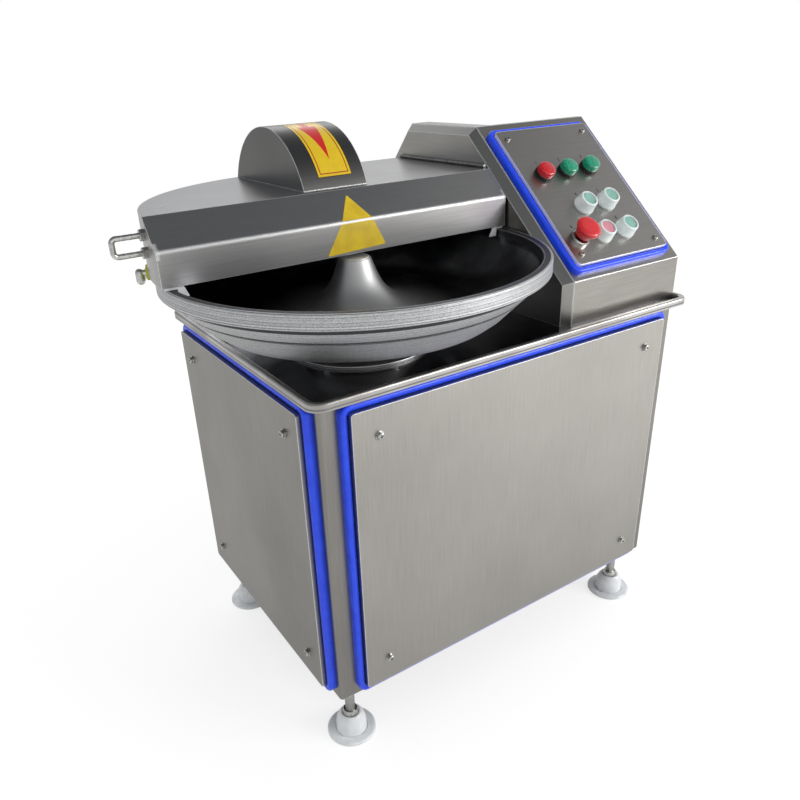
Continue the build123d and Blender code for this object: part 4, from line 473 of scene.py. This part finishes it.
def arrow_film():
    """Printed vinyl film with a satin laminate: yellow ground, thin dark border, red frame line and a red
    arrow that tapers to its point."""
    made, tree = new_material("printed_arrow_film")
    print_place = add(tree, "ShaderNodeUVMap")
    parts = add(tree, "ShaderNodeSeparateXYZ", {0: print_place})
    across = add(tree, "ShaderNodeMath", {0: parts.outputs["X"], 1: 0.5}, operation="SUBTRACT")
    along = parts.outputs["Y"]
    side = add(tree, "ShaderNodeMath", {0: across}, operation="ABSOLUTE")
    # the border and the frame line, by the distance from the nearest edge
    links = {0: side, 1: -ARROW_WIDTH, 2: ARROW_WIDTH / 2}
    side_gap = add(tree, "ShaderNodeMath", links, operation="MULTIPLY_ADD")
    low_gap = add(tree, "ShaderNodeMath", {0: along, 1: ARROW_LENGTH}, operation="MULTIPLY")
    links = {0: along, 1: -ARROW_LENGTH, 2: ARROW_LENGTH}
    high_gap = add(tree, "ShaderNodeMath", links, operation="MULTIPLY_ADD")
    end_gap = add(tree, "ShaderNodeMath", {0: low_gap, 1: high_gap}, operation="MINIMUM")
    gap = add(tree, "ShaderNodeMath", {0: side_gap, 1: end_gap}, operation="MINIMUM")
    border = add(tree, "ShaderNodeMath", {0: gap, 1: BORDER_WIDTH}, operation="LESS_THAN")
    line = add(tree, "ShaderNodeMath", {0: gap, 1: LINE_GAP, 2: LINE_HALF}, operation="COMPARE")
    # the arrow: a head that tapers to its point, and a narrow shaft above it
    links = {0: along, 1: ARROW_POINT, 2: ARROW_SHOULDER, 3: 0.0, 4: ARROW_HEAD}
    head_width = add(tree, "ShaderNodeMapRange", links)
    head = add(tree, "ShaderNodeMath", {0: side, 1: head_width}, operation="LESS_THAN")
    shoulder = add(tree, "ShaderNodeMath", {0: along, 1: ARROW_SHOULDER}, operation="LESS_THAN")
    head = add(tree, "ShaderNodeMath", {0: head, 1: shoulder}, operation="MULTIPLY")
    shaft = add(tree, "ShaderNodeMath", {0: side, 1: ARROW_SHAFT}, operation="LESS_THAN")
    links = {0: along, 1: ARROW_SHOULDER - ARROW_OVERLAP}
    start = add(tree, "ShaderNodeMath", links, operation="GREATER_THAN")
    shaft = add(tree, "ShaderNodeMath", {0: shaft, 1: start}, operation="MULTIPLY")
    end = add(tree, "ShaderNodeMath", {0: along, 1: ARROW_END}, operation="LESS_THAN")
    shaft = add(tree, "ShaderNodeMath", {0: shaft, 1: end}, operation="MULTIPLY")
    arrow = add(tree, "ShaderNodeMath", {0: head, 1: shaft}, operation="MAXIMUM")
    place = add(tree, "ShaderNodeTexCoord").outputs["Object"]
    wear = add(tree, "ShaderNodeTexNoise", {"Vector": place, "Scale": 1 / INK_DRIFT, "Detail": 3.0})
    links = {0: wear, 6: colour("e8c70a"), 7: colour("d9b400")}
    ink = add(tree, "ShaderNodeMix", links, data_type="RGBA")
    for mask, code in ((line, "a83208"), (arrow, "d00d0d"), (border, "3c3018")):
        links = {0: mask, 6: ink.outputs[2], 7: colour(code)}
        ink = add(tree, "ShaderNodeMix", links, data_type="RGBA")
    links = {"Base Color": ink.outputs[2], "Roughness": 0.34, "Coat Weight": 0.3, "Coat Roughness": 0.15}
    shader = add(tree, "ShaderNodeBsdfPrincipled", links)
    add(tree, "ShaderNodeOutputMaterial", {"Surface": shader})
    return made


# ------------------------------------------------------------------ finishes of the CAD nodes
def finishes():
    """Every CAD node's finish, made once and shared."""
    upright = brushed_sheet("brushed_upright_sheet", "bbb8b3", "94918c", "z")
    # painted shade: the side panels get a darker copy of the upright sheet
    flank = brushed_sheet("flank_sheet_painted_shade", "a09d98", "7f7c78", "z")
    # the lid's lower front fold is rounded wider, so its painted highlight is a broad white band
    lid = brushed_sheet("brushed_lid_sheet", "bab9b8", "949392", "x", 0.28, 1.2 * MM, LID_FOLD_Z, 6 * MM)
    housing = brushed_sheet("brushed_housing_sheet", "b9b7b3", "94928e", "y", 0.3)
    bright = machined_steel("tumbled_fastener_steel")
    rod = machined_steel("polished_rod_steel", "e0dfdc", "b5b4b1", 0.07)
    plain = machined_steel("machined_steel", "a6a4a1", "82807d", 0.3)
    cast = painted_casting("grey_painted_casting", "5d6064", "4c4f52")
    motor = painted_casting("blue_grey_motor_paint", "37536f", "2b4560")
    silicone = moulded("royal_blue_silicone", "0a4cff", "0640f2", 0.34, 0.3, 0.06)
    black = moulded("black_glass_filled_nylon", "202023", "161618", 0.4)
    white = moulded("white_silicone_boot", "e9efef", "d5e2e1", 0.34, 0.3, 0.08, 0.15, 0.8 * MM)
    green = moulded("pale_green_plastic", "8bbcae", "7dafa1", 0.38, 0.3, 0.1)
    green_lens = lamp_acrylic("green_acrylic_lens", "00b389", "007f60")
    return {
        "corner_posts": brushed_sheet("brushed_post_sheet", "9d9a95", "7c7975", "z"),
        "frame_rails": plain,
        "frame_plates": plain,
        "front_panel": upright,
        "back_panel": upright,
        "left_panel": flank,
        "right_panel": flank,
        "panel_screws": bright,
        "panel_spacers": bright,
        "panel_seals": silicone,
        "cable_gland": black,
        "tray": polished_tray_steel(),
        "foot_spindles": threaded_spindle_steel(),
        "foot_pads": moulded("white_nylon_pad", "eceeef", "dcdfe1", 0.36, 0.15, 0.2, 0.1, 1.0 * MM),
        "foot_lock_nuts": bright,
        "bowl_pedestal": brushed_sheet("turned_pedestal_steel", "a5a4a2", "83827f", "x", 0.3),
        "pedestal_bolts": bright,
        "bowl_bearings": bright,
        "bowl_spindle": plain,
        "bowl": turned_bowl_steel(),
        "bowl_cap_nut": machined_steel("satin_cap_steel", "f0f0ee", "d8d8d6", 0.5),
        "bowl_gearbox": cast,
        "bowl_motor": motor,
        "knife_blades": machined_steel("ground_knife_steel", "cfd0d1", "a8a9aa", 0.12),
        "knife_spacers": plain,
        "knife_lock_nut": plain,
        "knife_shaft": plain,
        "knife_bearing_housing": cast,
        "knife_bearings": bright,
        "knife_pulley": cast,
        "drive_belts": moulded("black_belt_rubber", "1f1f1f", "151515", 0.6),
        "knife_motor": motor,
        "motor_shaft": plain,
        "motor_pulley": cast,
        "lid_shell": lid,
        # painted reflection: the dome is the lid's steel, painted darker as if it reflected a dark surround
        "lid_dome": brushed_sheet("dome_sheet_painted_dark_reflection", "777675", "5c5b5a", "x", 0.3, 1.6 * MM),
        "lid_handle": rod,
        "lid_handle_nuts": bright,
        "lid_skirts": moulded("white_acetal_scraper", "e4e6e7", "d3d6d8", 0.35),
        "lid_hinge_leaf": plain,
        "fixed_hinge_leaf": plain,
        "hinge_pin": bright,
        "lid_rest_arm": rod,
        "lid_buffer": moulded("yellow_green_polyurethane", "c3c81e", "a9b010", 0.3, 0.3, 0.05, 0.2, 0.6 * MM),
        "head_housing": housing,
        "console_box": brushed_sheet("brushed_console_sheet", "aeaba6", "888580", "x", 0.3, 2 * MM),
        "belt_cover": upright,
        # the control plate gets a painted highlight on its sides
        "control_plate": brushed_sheet(
            "brushed_control_plate", "b4b1ad", "94918d", "x", 0.32, 2.2 * MM, face=PANEL_PLACE.col[2].xyz
        ),
        "control_screws": bright,
        "lamp_bezels": black,
        "red_lamp_lens": lamp_acrylic("red_acrylic_lens", "e8001a", "b00014"),
        "green_lamp_lenses": green_lens,
        "button_boots": white,
        "button_cap_1": green,
        "button_cap_2": green,
        "button_cap_3": moulded("pale_pink_plastic", "dd94a2", "cf8190", 0.38, 0.3, 0.1),
        "button_cap_4": green,
        "stop_collar": rod,
        "stop_stem": black,
        "stop_mushroom": moulded("stop_button_red_plastic", "dc1a22", "c4121a", 0.3, 0.5, 0.2),
    }


def dress_frame(finish_of):
    """Give every CAD node its finish."""
    for name, finish in finish_of.items():
        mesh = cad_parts[name].data
        mesh.materials.clear()
        mesh.materials.append(finish)


# ------------------------------------------------------------------ pieces added to the frame
SHARP = math.radians(35)    # edges that turn more than this stay crisp


def new_piece(name, shape, finish, body):
    """Turn a bmesh into a smooth-shaded piece with crisp corners that rides on a body."""
    bmesh.ops.recalc_face_normals(shape, faces=shape.faces)
    mesh = bpy.data.meshes.new(name)
    shape.to_mesh(mesh)
    shape.free()
    mesh.shade_smooth()
    mesh.set_sharp_from_angle(angle=SHARP)
    mesh.materials.append(finish)
    piece = bpy.data.objects.new(name, mesh)
    bpy.context.scene.collection.objects.link(piece)
    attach(piece, body)
    return piece


WELD = 0.005 * MM           # joins the points that a spin leaves on its axis


def spin_profile(shape, profile, places, steps):
    """Spin a closed or axis-to-axis profile of (radius, height) in millimetres round upright axes."""
    for x, y in places:
        rim = [shape.verts.new((x + r * MM, y, z * MM)) for r, z in profile]
        edges = [shape.edges.new(pair) for pair in zip(rim[:-1], rim[1:])]
        bmesh.ops.spin(
            shape,
            geom=rim + edges,
            cent=(x, y, 0),
            axis=(0, 0, 1),
            angle=2 * math.pi,
            steps=steps,
            use_merge=True,
        )
    bmesh.ops.remove_doubles(shape, verts=shape.verts, dist=WELD)


TROUGH_CENTRE = (164.98, 785.5)     # mm: the arc that the knives sweep, from the bowl's axis and the floor
TROUGH_RADIUS = 115.5
TROUGH_FLOOR = 670.0
TROUGH_LIP = 729.5
TROUGH_STEPS = 16
CONE_TOP = (24.0, 738.0)            # mm: radius and height
BORE = 14.1                         # mm: the hole that the spindle passes
BOWL_STEPS = 160                    # facets round the bowl


def bowl_profile():
    """The bowl's section: base ring, grooved outside, banded rim, ring trough and flared cone."""
    rim, base, top = BOWL_RADIUS / MM, BOWL_LOW.z / MM, BOWL_HIGH.z / MM
    outside = [
        (BORE, base), (70, base), (74, base + 10), (144, base + 10), (150, base), (192, base),
        (206, base + 5.5), (222, base + 17.5), (246.9, base + 42.96), (247.2, base + 44.9),
        (249.1, base + 45.2), (266, base + 62.5), (267.5, base + 66.6), (274.5, top - 20),
        (rim - 1, top - 20), (rim, top - 19), (rim, top - 1), (rim - 1, top), (rim - 12, top),
        (rim - 13, top - 1),
    ]
    start = math.asin((TROUGH_LIP - TROUGH_CENTRE[1]) / TROUGH_RADIUS)
    sweep = start + math.pi / 2
    turns = [start - sweep * step / TROUGH_STEPS for step in range(TROUGH_STEPS + 1)]
    trough = [
        (TROUGH_CENTRE[0] + TROUGH_RADIUS * math.cos(turn), TROUGH_CENTRE[1] + TROUGH_RADIUS * math.sin(turn))
        for turn in turns
    ]
    foot, waist, crown = ((102, TROUGH_FLOOR), (43, TROUGH_FLOOR + 26.6), CONE_TOP)
    flare = interpolate_bezier(foot, (74, TROUGH_FLOOR), (54, TROUGH_FLOOR + 12.3), waist, 14)
    neck = interpolate_bezier(waist, (33.5, TROUGH_FLOOR + 39), (29.2, TROUGH_FLOOR + 54), crown, 12)
    cone = [tuple(point) for point in flare + neck[1:]]
    return outside + trough + cone + [(BORE, CONE_TOP[1]), (BORE, base)]


def add_bowl(finish):
    """The bowl with its full section, in place of the plainer frame solid."""
    shape = bmesh.new()
    spin_profile(shape, bowl_profile(), [BOWL_AXIS.xy], BOWL_STEPS)
    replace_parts(new_piece("turned_bowl", shape, finish, "bowl_group"), "bowl")


CAP_RADIUS = 21.5                   # mm
CAP_HEIGHT = 2.2
CAP_CHAMFER = 0.6
CAP_STEPS = 64


def add_cone_cap(finish):
    """The flat bright disc that closes the cone."""
    shape = bmesh.new()
    low = CONE_TOP[1]
    top = low + CAP_HEIGHT
    rim = [(CAP_RADIUS, low), (CAP_RADIUS, top - CAP_CHAMFER), (CAP_RADIUS - CAP_CHAMFER, top)]
    spin_profile(shape, [(0, low)] + rim + [(0, top)], [BOWL_AXIS.xy], CAP_STEPS)
    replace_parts(new_piece("cone_cap", shape, finish, "bowl_group"), "bowl_cap_nut")


PAD_RADIUS = 40                     # mm
PAD_STEPS = 56
COLLAR_STEPS = 40
FEET = [
    (x, y)
    for x in (PAD_LOW.x + PAD_RADIUS * MM, PAD_HIGH.x - PAD_RADIUS * MM)
    for y in (PAD_LOW.y + PAD_RADIUS * MM, PAD_HIGH.y - PAD_RADIUS * MM)
]


def add_feet(pad_finish, collar_finish):
    """Bell-shaped pads on a thin dished flange, and the turned collar over each bell."""
    shoulder = [tuple(p) for p in interpolate_bezier((25.3, 12), (25.3, 26), (21.5, 33), (16.5, 38), 10)]
    pad = [(0, 0), (38, 0), (40, 2), (40, 4.5), (38.5, 6.5), (35, 7.5), (31, 6.5), (27.1, 6.5), (26.5, 5.2)]
    pad += [(25.5, 5.2), (25.3, 8)] + shoulder + [(13.8, 38), (13.8, 36), (0, 36)]
    shape = bmesh.new()
    spin_profile(shape, pad, FEET, PAD_STEPS)
    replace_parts(new_piece("bell_foot_pads", shape, pad_finish, "cabinet"), "foot_pads")
    collar = [(8.05, 36.1), (13, 36.1), (13, 42), (11, 46), (8.05, 46), (8.05, 36.1)]
    shape = bmesh.new()
    spin_profile(shape, collar, FEET, COLLAR_STEPS)
    new_piece("foot_collars", shape, collar_finish, "cabinet")


SCRAPER = 2 * MM                                    # the plates' thickness
SCRAPER_ENDS = ((-1, 281.5 * MM), (1, 276.4 * MM))  # side of the bowl's axis, and how far out each reaches
SCRAPER_CLEAR = 0.5 * MM                            # above the rim
SCRAPER_RISE = 12 * MM                              # above the lid's lower edge
TONGUE_DEPTH = 10.6 * MM                            # below the rim's top
TONGUE_SLANT = 14 * MM
TONGUE_OUT = (264.5 * MM, 263.5 * MM)               # out from the axis, above and below
TONGUE_IN = (256 * MM, 250 * MM)


def add_scrapers(finish):
    """Two white plates inside the lid's front wall, whose tongues dip behind the bowl's rim."""
    shape = bmesh.new()
    low, high = BOWL_HIGH.z + SCRAPER_CLEAR, LID_LOW.z + SCRAPER_RISE
    foot = BOWL_HIGH.z - TONGUE_DEPTH
    front = LID_LOW.y + LID_SHEET
    for side, end in SCRAPER_ENDS:
        outline = [
            (end, high), (end, low), (TONGUE_OUT[0], low), (TONGUE_OUT[1], foot), (TONGUE_IN[1], foot),
            (TONGUE_IN[0], foot + TONGUE_SLANT), (TONGUE_IN[0], high),
        ]
        ring = [shape.verts.new((BOWL_AXIS.x + side * d, front, z)) for d, z in outline]
        face = shape.faces.new(ring)
        grown = bmesh.ops.extrude_face_region(shape, geom=[face])
        moved = [item for item in grown["geom"] if isinstance(item, bmesh.types.BMVert)]
        bmesh.ops.translate(shape, verts=moved, vec=(0, SCRAPER, 0))
    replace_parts(new_piece("lid_scrapers", shape, finish, "lid"), "lid_skirts")


def add_arrow_film():
    """The arrow film, laid round the dome's curve."""
    shape = bmesh.new()
    shape.loops.layers.uv.new("print")
    bmesh.ops.create_grid(shape, x_segments=2, y_segments=40, size=0.5, calc_uvs=True)
    reach = DOME_RADIUS + STICKER
    for vert in shape.verts:
        turn = ARROW_TURN[1] + (vert.co.y + 0.5) * (ARROW_TURN[0] - ARROW_TURN[1])
        vert.co = (
            ARROW_MIDDLE + vert.co.x * ARROW_WIDTH,
            SHAFT_AXIS.y - reach * math.sin(turn),
            SHAFT_AXIS.z + reach * math.cos(turn),
        )
    new_piece("arrow_film", shape, arrow_film(), "lid")


# mm: across from the dome's middle, and up the sheet from the fold
FILM_CORNERS = ((1.0, 44.3), (45.0, -38.6), (-52.5, -43.1))
FILM_ROUND = 3 * MM
FILM_CUTS = (-1, -0.5, 0, 0.5, 1)   # where the film is cut to follow the fold, as shares of its half length


def add_corner_film():
    """A plain yellow film wrapped over the lid's front fold."""
    shape = bmesh.new()
    middle = (DOME_LOW.x + DOME_HIGH.x) / 2
    corners = [shape.verts.new((u * MM, s * MM, 0)) for u, s in FILM_CORNERS]
    shape.faces.new(corners)
    bmesh.ops.bevel(
        shape,
        geom=shape.verts[:],
        offset=FILM_ROUND,
        segments=4,
        profile=0.5,
        material=-1,
        affect="VERTICES",
    )
    half_bend = LID_BEND * LID_SLOPE / 2
    for share in FILM_CUTS:
        cut = shape.verts[:] + shape.edges[:] + shape.faces[:]
        bmesh.ops.bisect_plane(shape, geom=cut, plane_co=(0, share * half_bend, 0), plane_no=(0, 1, 0))
    tangent = LID_BEND * math.tan(LID_SLOPE / 2)
    reach = LID_BEND + STICKER
    for vert in shape.verts:
        up = vert.co.y
        turn = min(max((up + half_bend) / LID_BEND, 0), LID_SLOPE)
        y = LID_LOW.y + LID_BEND - reach * math.cos(turn)
        z = LID_FOLD_Z - tangent + reach * math.sin(turn)
        over = max(up - half_bend, 0)
        under = min(up + half_bend, 0)
        vert.co = (
            middle + vert.co.x,
            y + over * math.sin(LID_SLOPE),
            z + over * math.cos(LID_SLOPE) + under,
        )
    film = moulded("plain_yellow_film", "dfc012", "cfae05", 0.36, 0.3, 0.05)
    new_piece("corner_film", shape, film, "lid")


LAMP_SPOTS = ((56, 193), (107, 193), (158, 193))    # mm on the slope: right and up from its lower left corner
BUTTON_SPOTS = ((95, 121), (146, 121), (95, 63.5), (146, 63.5))
STOP_SPOT = (44, 63.5)
DEVICE_STEPS = 48


def add_device(name, profile, spots, finish, body, node):
    """A turned control device in place of its plainer node, standing on the control plate."""
    shape = bmesh.new()
    spin_profile(shape, profile, [(u * MM, s * MM) for u, s in spots], DEVICE_STEPS)
    bmesh.ops.transform(shape, matrix=PANEL_PLACE, verts=shape.verts)
    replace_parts(new_piece(name, shape, finish, body), node)


GRIP_RIBS = 20
RIB_PLACE = (15 * MM, 0, 2.8 * MM)
RIB_SIZE = (0.9 * MM, 1.8 * MM, 4.4 * MM)


def add_lamps(finish_of):
    """Pilot lamps: a ribbed black base ring and a low domed lens."""
    lens = [(0, 5), (14.5, 5), (14.5, 12.4)]
    lens += [tuple(p) for p in interpolate_bezier((14.5, 12.4), (14.4, 14.9), (13.0, 16), (10.5, 16.2), 6)]
    lens += [(0, 16.6)]
    red, green = finish_of["red_lamp_lens"], finish_of["green_lamp_lenses"]
    add_device("red_lamp_dome", lens, LAMP_SPOTS[:1], red, "cabinet", "red_lamp_lens")
    add_device("green_lamp_domes", lens, LAMP_SPOTS[1:], green, "cabinet", "green_lamp_lenses")
    base = [(0, 0.05), (15, 0.05), (15, 5.2), (14.2, 6), (0, 6)]
    shape = bmesh.new()
    spin_profile(shape, base, [(u * MM, s * MM) for u, s in LAMP_SPOTS], DEVICE_STEPS)
    for u, s in LAMP_SPOTS:
        for step in range(GRIP_RIBS):
            turn = 2 * math.pi * step / GRIP_RIBS
            place = (
                Matrix.Translation((u * MM, s * MM, 0))
                @ Matrix.Rotation(turn, 4, "Z")
                @ Matrix.Translation(RIB_PLACE)
                @ Matrix.Diagonal((*RIB_SIZE, 1))
            )
            bmesh.ops.create_cube(shape, size=1, matrix=place)
    bmesh.ops.transform(shape, matrix=PANEL_PLACE, verts=shape.verts)
    rings = new_piece("ribbed_lamp_bases", shape, finish_of["lamp_bezels"], "cabinet")
    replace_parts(rings, "lamp_bezels")


def add_buttons(finish_of):
    """Push buttons: soft white boots that taper to a rounded lip, with a coloured cap sunk in each."""
    lip = [tuple(p) for p in interpolate_bezier((15.1, 17), (14.9, 18.8), (13.6, 19.4), (12.0, 19.1), 6)]
    boot = [(0, 0.05), (17.5, 0.05), (17.5, 3), (16.6, 4.2)] + lip + [(11.8, 18), (11.75, 5), (0, 5)]
    white = finish_of["button_boots"]
    add_device("tapered_boots", boot, BUTTON_SPOTS, white, "cabinet", "button_boots")


def add_stop(finish_of):
    """The stop button's mushroom: a dished head that swells from a narrow neck."""
    head = [(0, 11.6), (13.4, 11.6), (15.0, 16), (17.2, 20.5)]
    head += [tuple(p) for p in interpolate_bezier((17.5, 21), (19.4, 23.4), (20.3, 25.6), (19.9, 28), 6)]
    head += [(18.8, 30), (16.5, 31.2), (13, 31.4), (0, 30.9)]
    red = finish_of["stop_mushroom"]
    add_device("stop_palm_head", head, [STOP_SPOT], red, "stop_head", "stop_mushroom")


NUMERAL_HEIGHT = 9 * MM
NUMERAL_GAP = 22 * MM       # from a device's middle up the slope to its numeral
NUMERAL_DEPTH = 0.05 * MM   # half the thickness of the fill
NUMERAL_LIFT = 0.06 * MM    # its middle above the plate, so that no face lies in the plate's
NUMERAL_WELD = 0.01 * MM    # joins the corners that a filled letter's faces share


def add_numerals():
    """Etched numerals beside the control devices, one to eight."""
    etched = moulded("black_etched_fill", "2a2a2c", "1c1c1e", 0.5)
    spots = LAMP_SPOTS + BUTTON_SPOTS[:2] + (STOP_SPOT,) + BUTTON_SPOTS[2:]
    for number, (u, s) in enumerate(spots, 1):
        text = bpy.data.curves.new("numeral", "FONT")
        text.body = str(number)
        text.size = NUMERAL_HEIGHT
        text.align_x = "CENTER"
        text.extrude = NUMERAL_DEPTH
        letter = bpy.data.objects.new("numeral", text)
        mesh = bpy.data.meshes.new_from_object(letter)
        bpy.data.objects.remove(letter)
        spot = Matrix.Translation((u * MM, s * MM + NUMERAL_GAP, NUMERAL_LIFT))
        shape = bmesh.new()
        shape.from_mesh(mesh)
        bmesh.ops.transform(shape, matrix=PANEL_PLACE @ spot, verts=shape.verts)
        bmesh.ops.remove_doubles(shape, verts=shape.verts, dist=NUMERAL_WELD)
        new_piece(f"numeral_{number}", shape, etched, "cabinet")


# ------------------------------------------------------------------ studio
FLOOR_HALF = 40
FLOOR_GLOW = 0.69           # with the light that reaches the shadow catcher, it comes to white
FLOOR_SHADOW = (0.42, 0.42, 0.42, 1)
FLOOR_GLOSS = 0.25          # how much of that white is seen in reflections


def add_floor():
    """A wide pale floor, white to the camera and in reflections, that keeps the machine's soft shadow."""
    shape = bmesh.new()
    bmesh.ops.create_grid(shape, x_segments=1, y_segments=1, size=FLOOR_HALF)
    mesh = bpy.data.meshes.new("floor")
    shape.to_mesh(mesh)
    shape.free()
    floor = bpy.data.objects.new("floor", mesh)
    bpy.context.scene.collection.objects.link(floor)
    made, tree = new_material("studio_floor")
    path = add(tree, "ShaderNodeLightPath")
    matt = add(tree, "ShaderNodeBsdfDiffuse", {"Color": colour("e6e6e4")})
    shadow = add(tree, "ShaderNodeBsdfDiffuse", {"Color": FLOOR_SHADOW})
    glow = add(tree, "ShaderNodeEmission", {"Color": (1, 1, 1, 1), "Strength": FLOOR_GLOW})
    white = add(tree, "ShaderNodeAddShader", {0: shadow, 1: glow})
    seen = add(
        tree,
        "ShaderNodeMath",
        {0: path.outputs["Is Camera Ray"], 1: path.outputs["Is Transmission Ray"]},
        operation="MAXIMUM",
    )
    links = {0: path.outputs["Is Glossy Ray"], 1: FLOOR_GLOSS}
    gloss = add(tree, "ShaderNodeMath", links, operation="MULTIPLY")
    seen = add(tree, "ShaderNodeMath", {0: seen, 1: gloss}, operation="MAXIMUM")
    blend = add(tree, "ShaderNodeMixShader", {0: seen, 1: matt, 2: white})
    add(tree, "ShaderNodeOutputMaterial", {"Surface": blend})
    mesh.materials.append(made)


WINDOW_SIDE = (0.80, -0.60, 0.0)    # the bright side of the studio: right of the machine and in front
WALL_SPAN = {1: -0.7, 2: 0.5}       # from the dim side to the bright one, along that direction
CEILING_SPAN = {1: 0.30, 2: 0.85}   # the upward part of a direction, from wall to ceiling
ROOM_LIGHT = 0.75                   # strength of the even light that the surround casts


def add_world():
    """A white surround for the camera; in reflections it is white on the bright side and dims towards the
    other side and overhead, as a studio's far wall and ceiling do."""
    world = bpy.data.worlds.new("studio")
    world.use_nodes = True
    tree = world.node_tree
    tree.nodes.clear()
    path = add(tree, "ShaderNodeLightPath")
    place = add(tree, "ShaderNodeTexCoord")
    height = add(tree, "ShaderNodeSeparateXYZ", {0: place.outputs["Generated"]}).outputs["Z"]
    rise = add(tree, "ShaderNodeMapRange", {0: height, **CEILING_SPAN, **SHARE})
    links = {0: place.outputs["Generated"], 1: WINDOW_SIDE}
    side = add(tree, "ShaderNodeVectorMath", links, operation="DOT_PRODUCT")
    bright = add(tree, "ShaderNodeMapRange", {0: side.outputs["Value"], **WALL_SPAN, **SHARE})
    links = {0: bright, 6: colour("a4a8ae"), 7: (1, 1, 1, 1)}
    walls = add(tree, "ShaderNodeMix", links, data_type="RGBA")
    links = {0: rise, 6: walls.outputs[2], 7: colour("6c6f73")}
    sky = add(tree, "ShaderNodeMix", links, data_type="RGBA")
    gloss = path.outputs["Is Glossy Ray"]
    shade = add(tree, "ShaderNodeMix", {0: gloss, 6: (1, 1, 1, 1), 7: sky.outputs[2]}, data_type="RGBA")
    seen = add(
        tree,
        "ShaderNodeMath",
        {0: path.outputs["Is Camera Ray"], 1: path.outputs["Is Transmission Ray"]},
        operation="MAXIMUM",
    )
    seen = add(tree, "ShaderNodeMath", {0: seen, 1: gloss}, operation="MAXIMUM")
    strength = add(tree, "ShaderNodeMapRange", {0: seen, 1: 0.0, 2: 1.0, 3: ROOM_LIGHT, 4: 1.0})
    light = add(tree, "ShaderNodeBackground", {"Color": shade.outputs[2], "Strength": strength})
    add(tree, "ShaderNodeOutputWorld", {"Surface": light})
    bpy.context.scene.world = world


def add_light(name, place, target, size, power):
    """A rectangular soft light that looks at a point."""
    data = bpy.data.lights.new(name, "AREA")
    data.shape = "RECTANGLE"
    data.size, data.size_y = size
    data.energy = power
    lamp = bpy.data.objects.new(name, data)
    bpy.context.scene.collection.objects.link(lamp)
    aim = (Vector(target) - Vector(place)).to_track_quat("-Z", "Y")
    lamp.matrix_world = Matrix.Translation(place) @ aim.to_matrix().to_4x4()


LIGHT_TARGET = (0, 0, 0.5)
SOFTBOXES = (                       # name, place, size, watts
    ("key_softbox", (1.8, -2.1, 1.2), (1.6, 1.0), 38),
    ("back_softbox", (1.3, 2.6, 2.4), (2.2, 0.8), 9),
)


def add_studio():
    """The floor, the white surround, a low key light at the front right and a weak light behind."""
    add_floor()
    add_world()
    for name, place, size, power in SOFTBOXES:
        add_light(name, place, LIGHT_TARGET, size, power)


# ------------------------------------------------------------------ build
add_camera()
finish_of = finishes()
dress_frame(finish_of)
add_bowl(finish_of["bowl"])
add_cone_cap(finish_of["bowl_cap_nut"])
add_feet(finish_of["foot_pads"], finish_of["panel_screws"])
add_scrapers(finish_of["lid_skirts"])
add_arrow_film()
add_corner_film()
add_lamps(finish_of)
add_buttons(finish_of)
add_stop(finish_of)
add_numerals()
add_studio()
bpy.context.scene.view_settings.view_transform = "Standard"
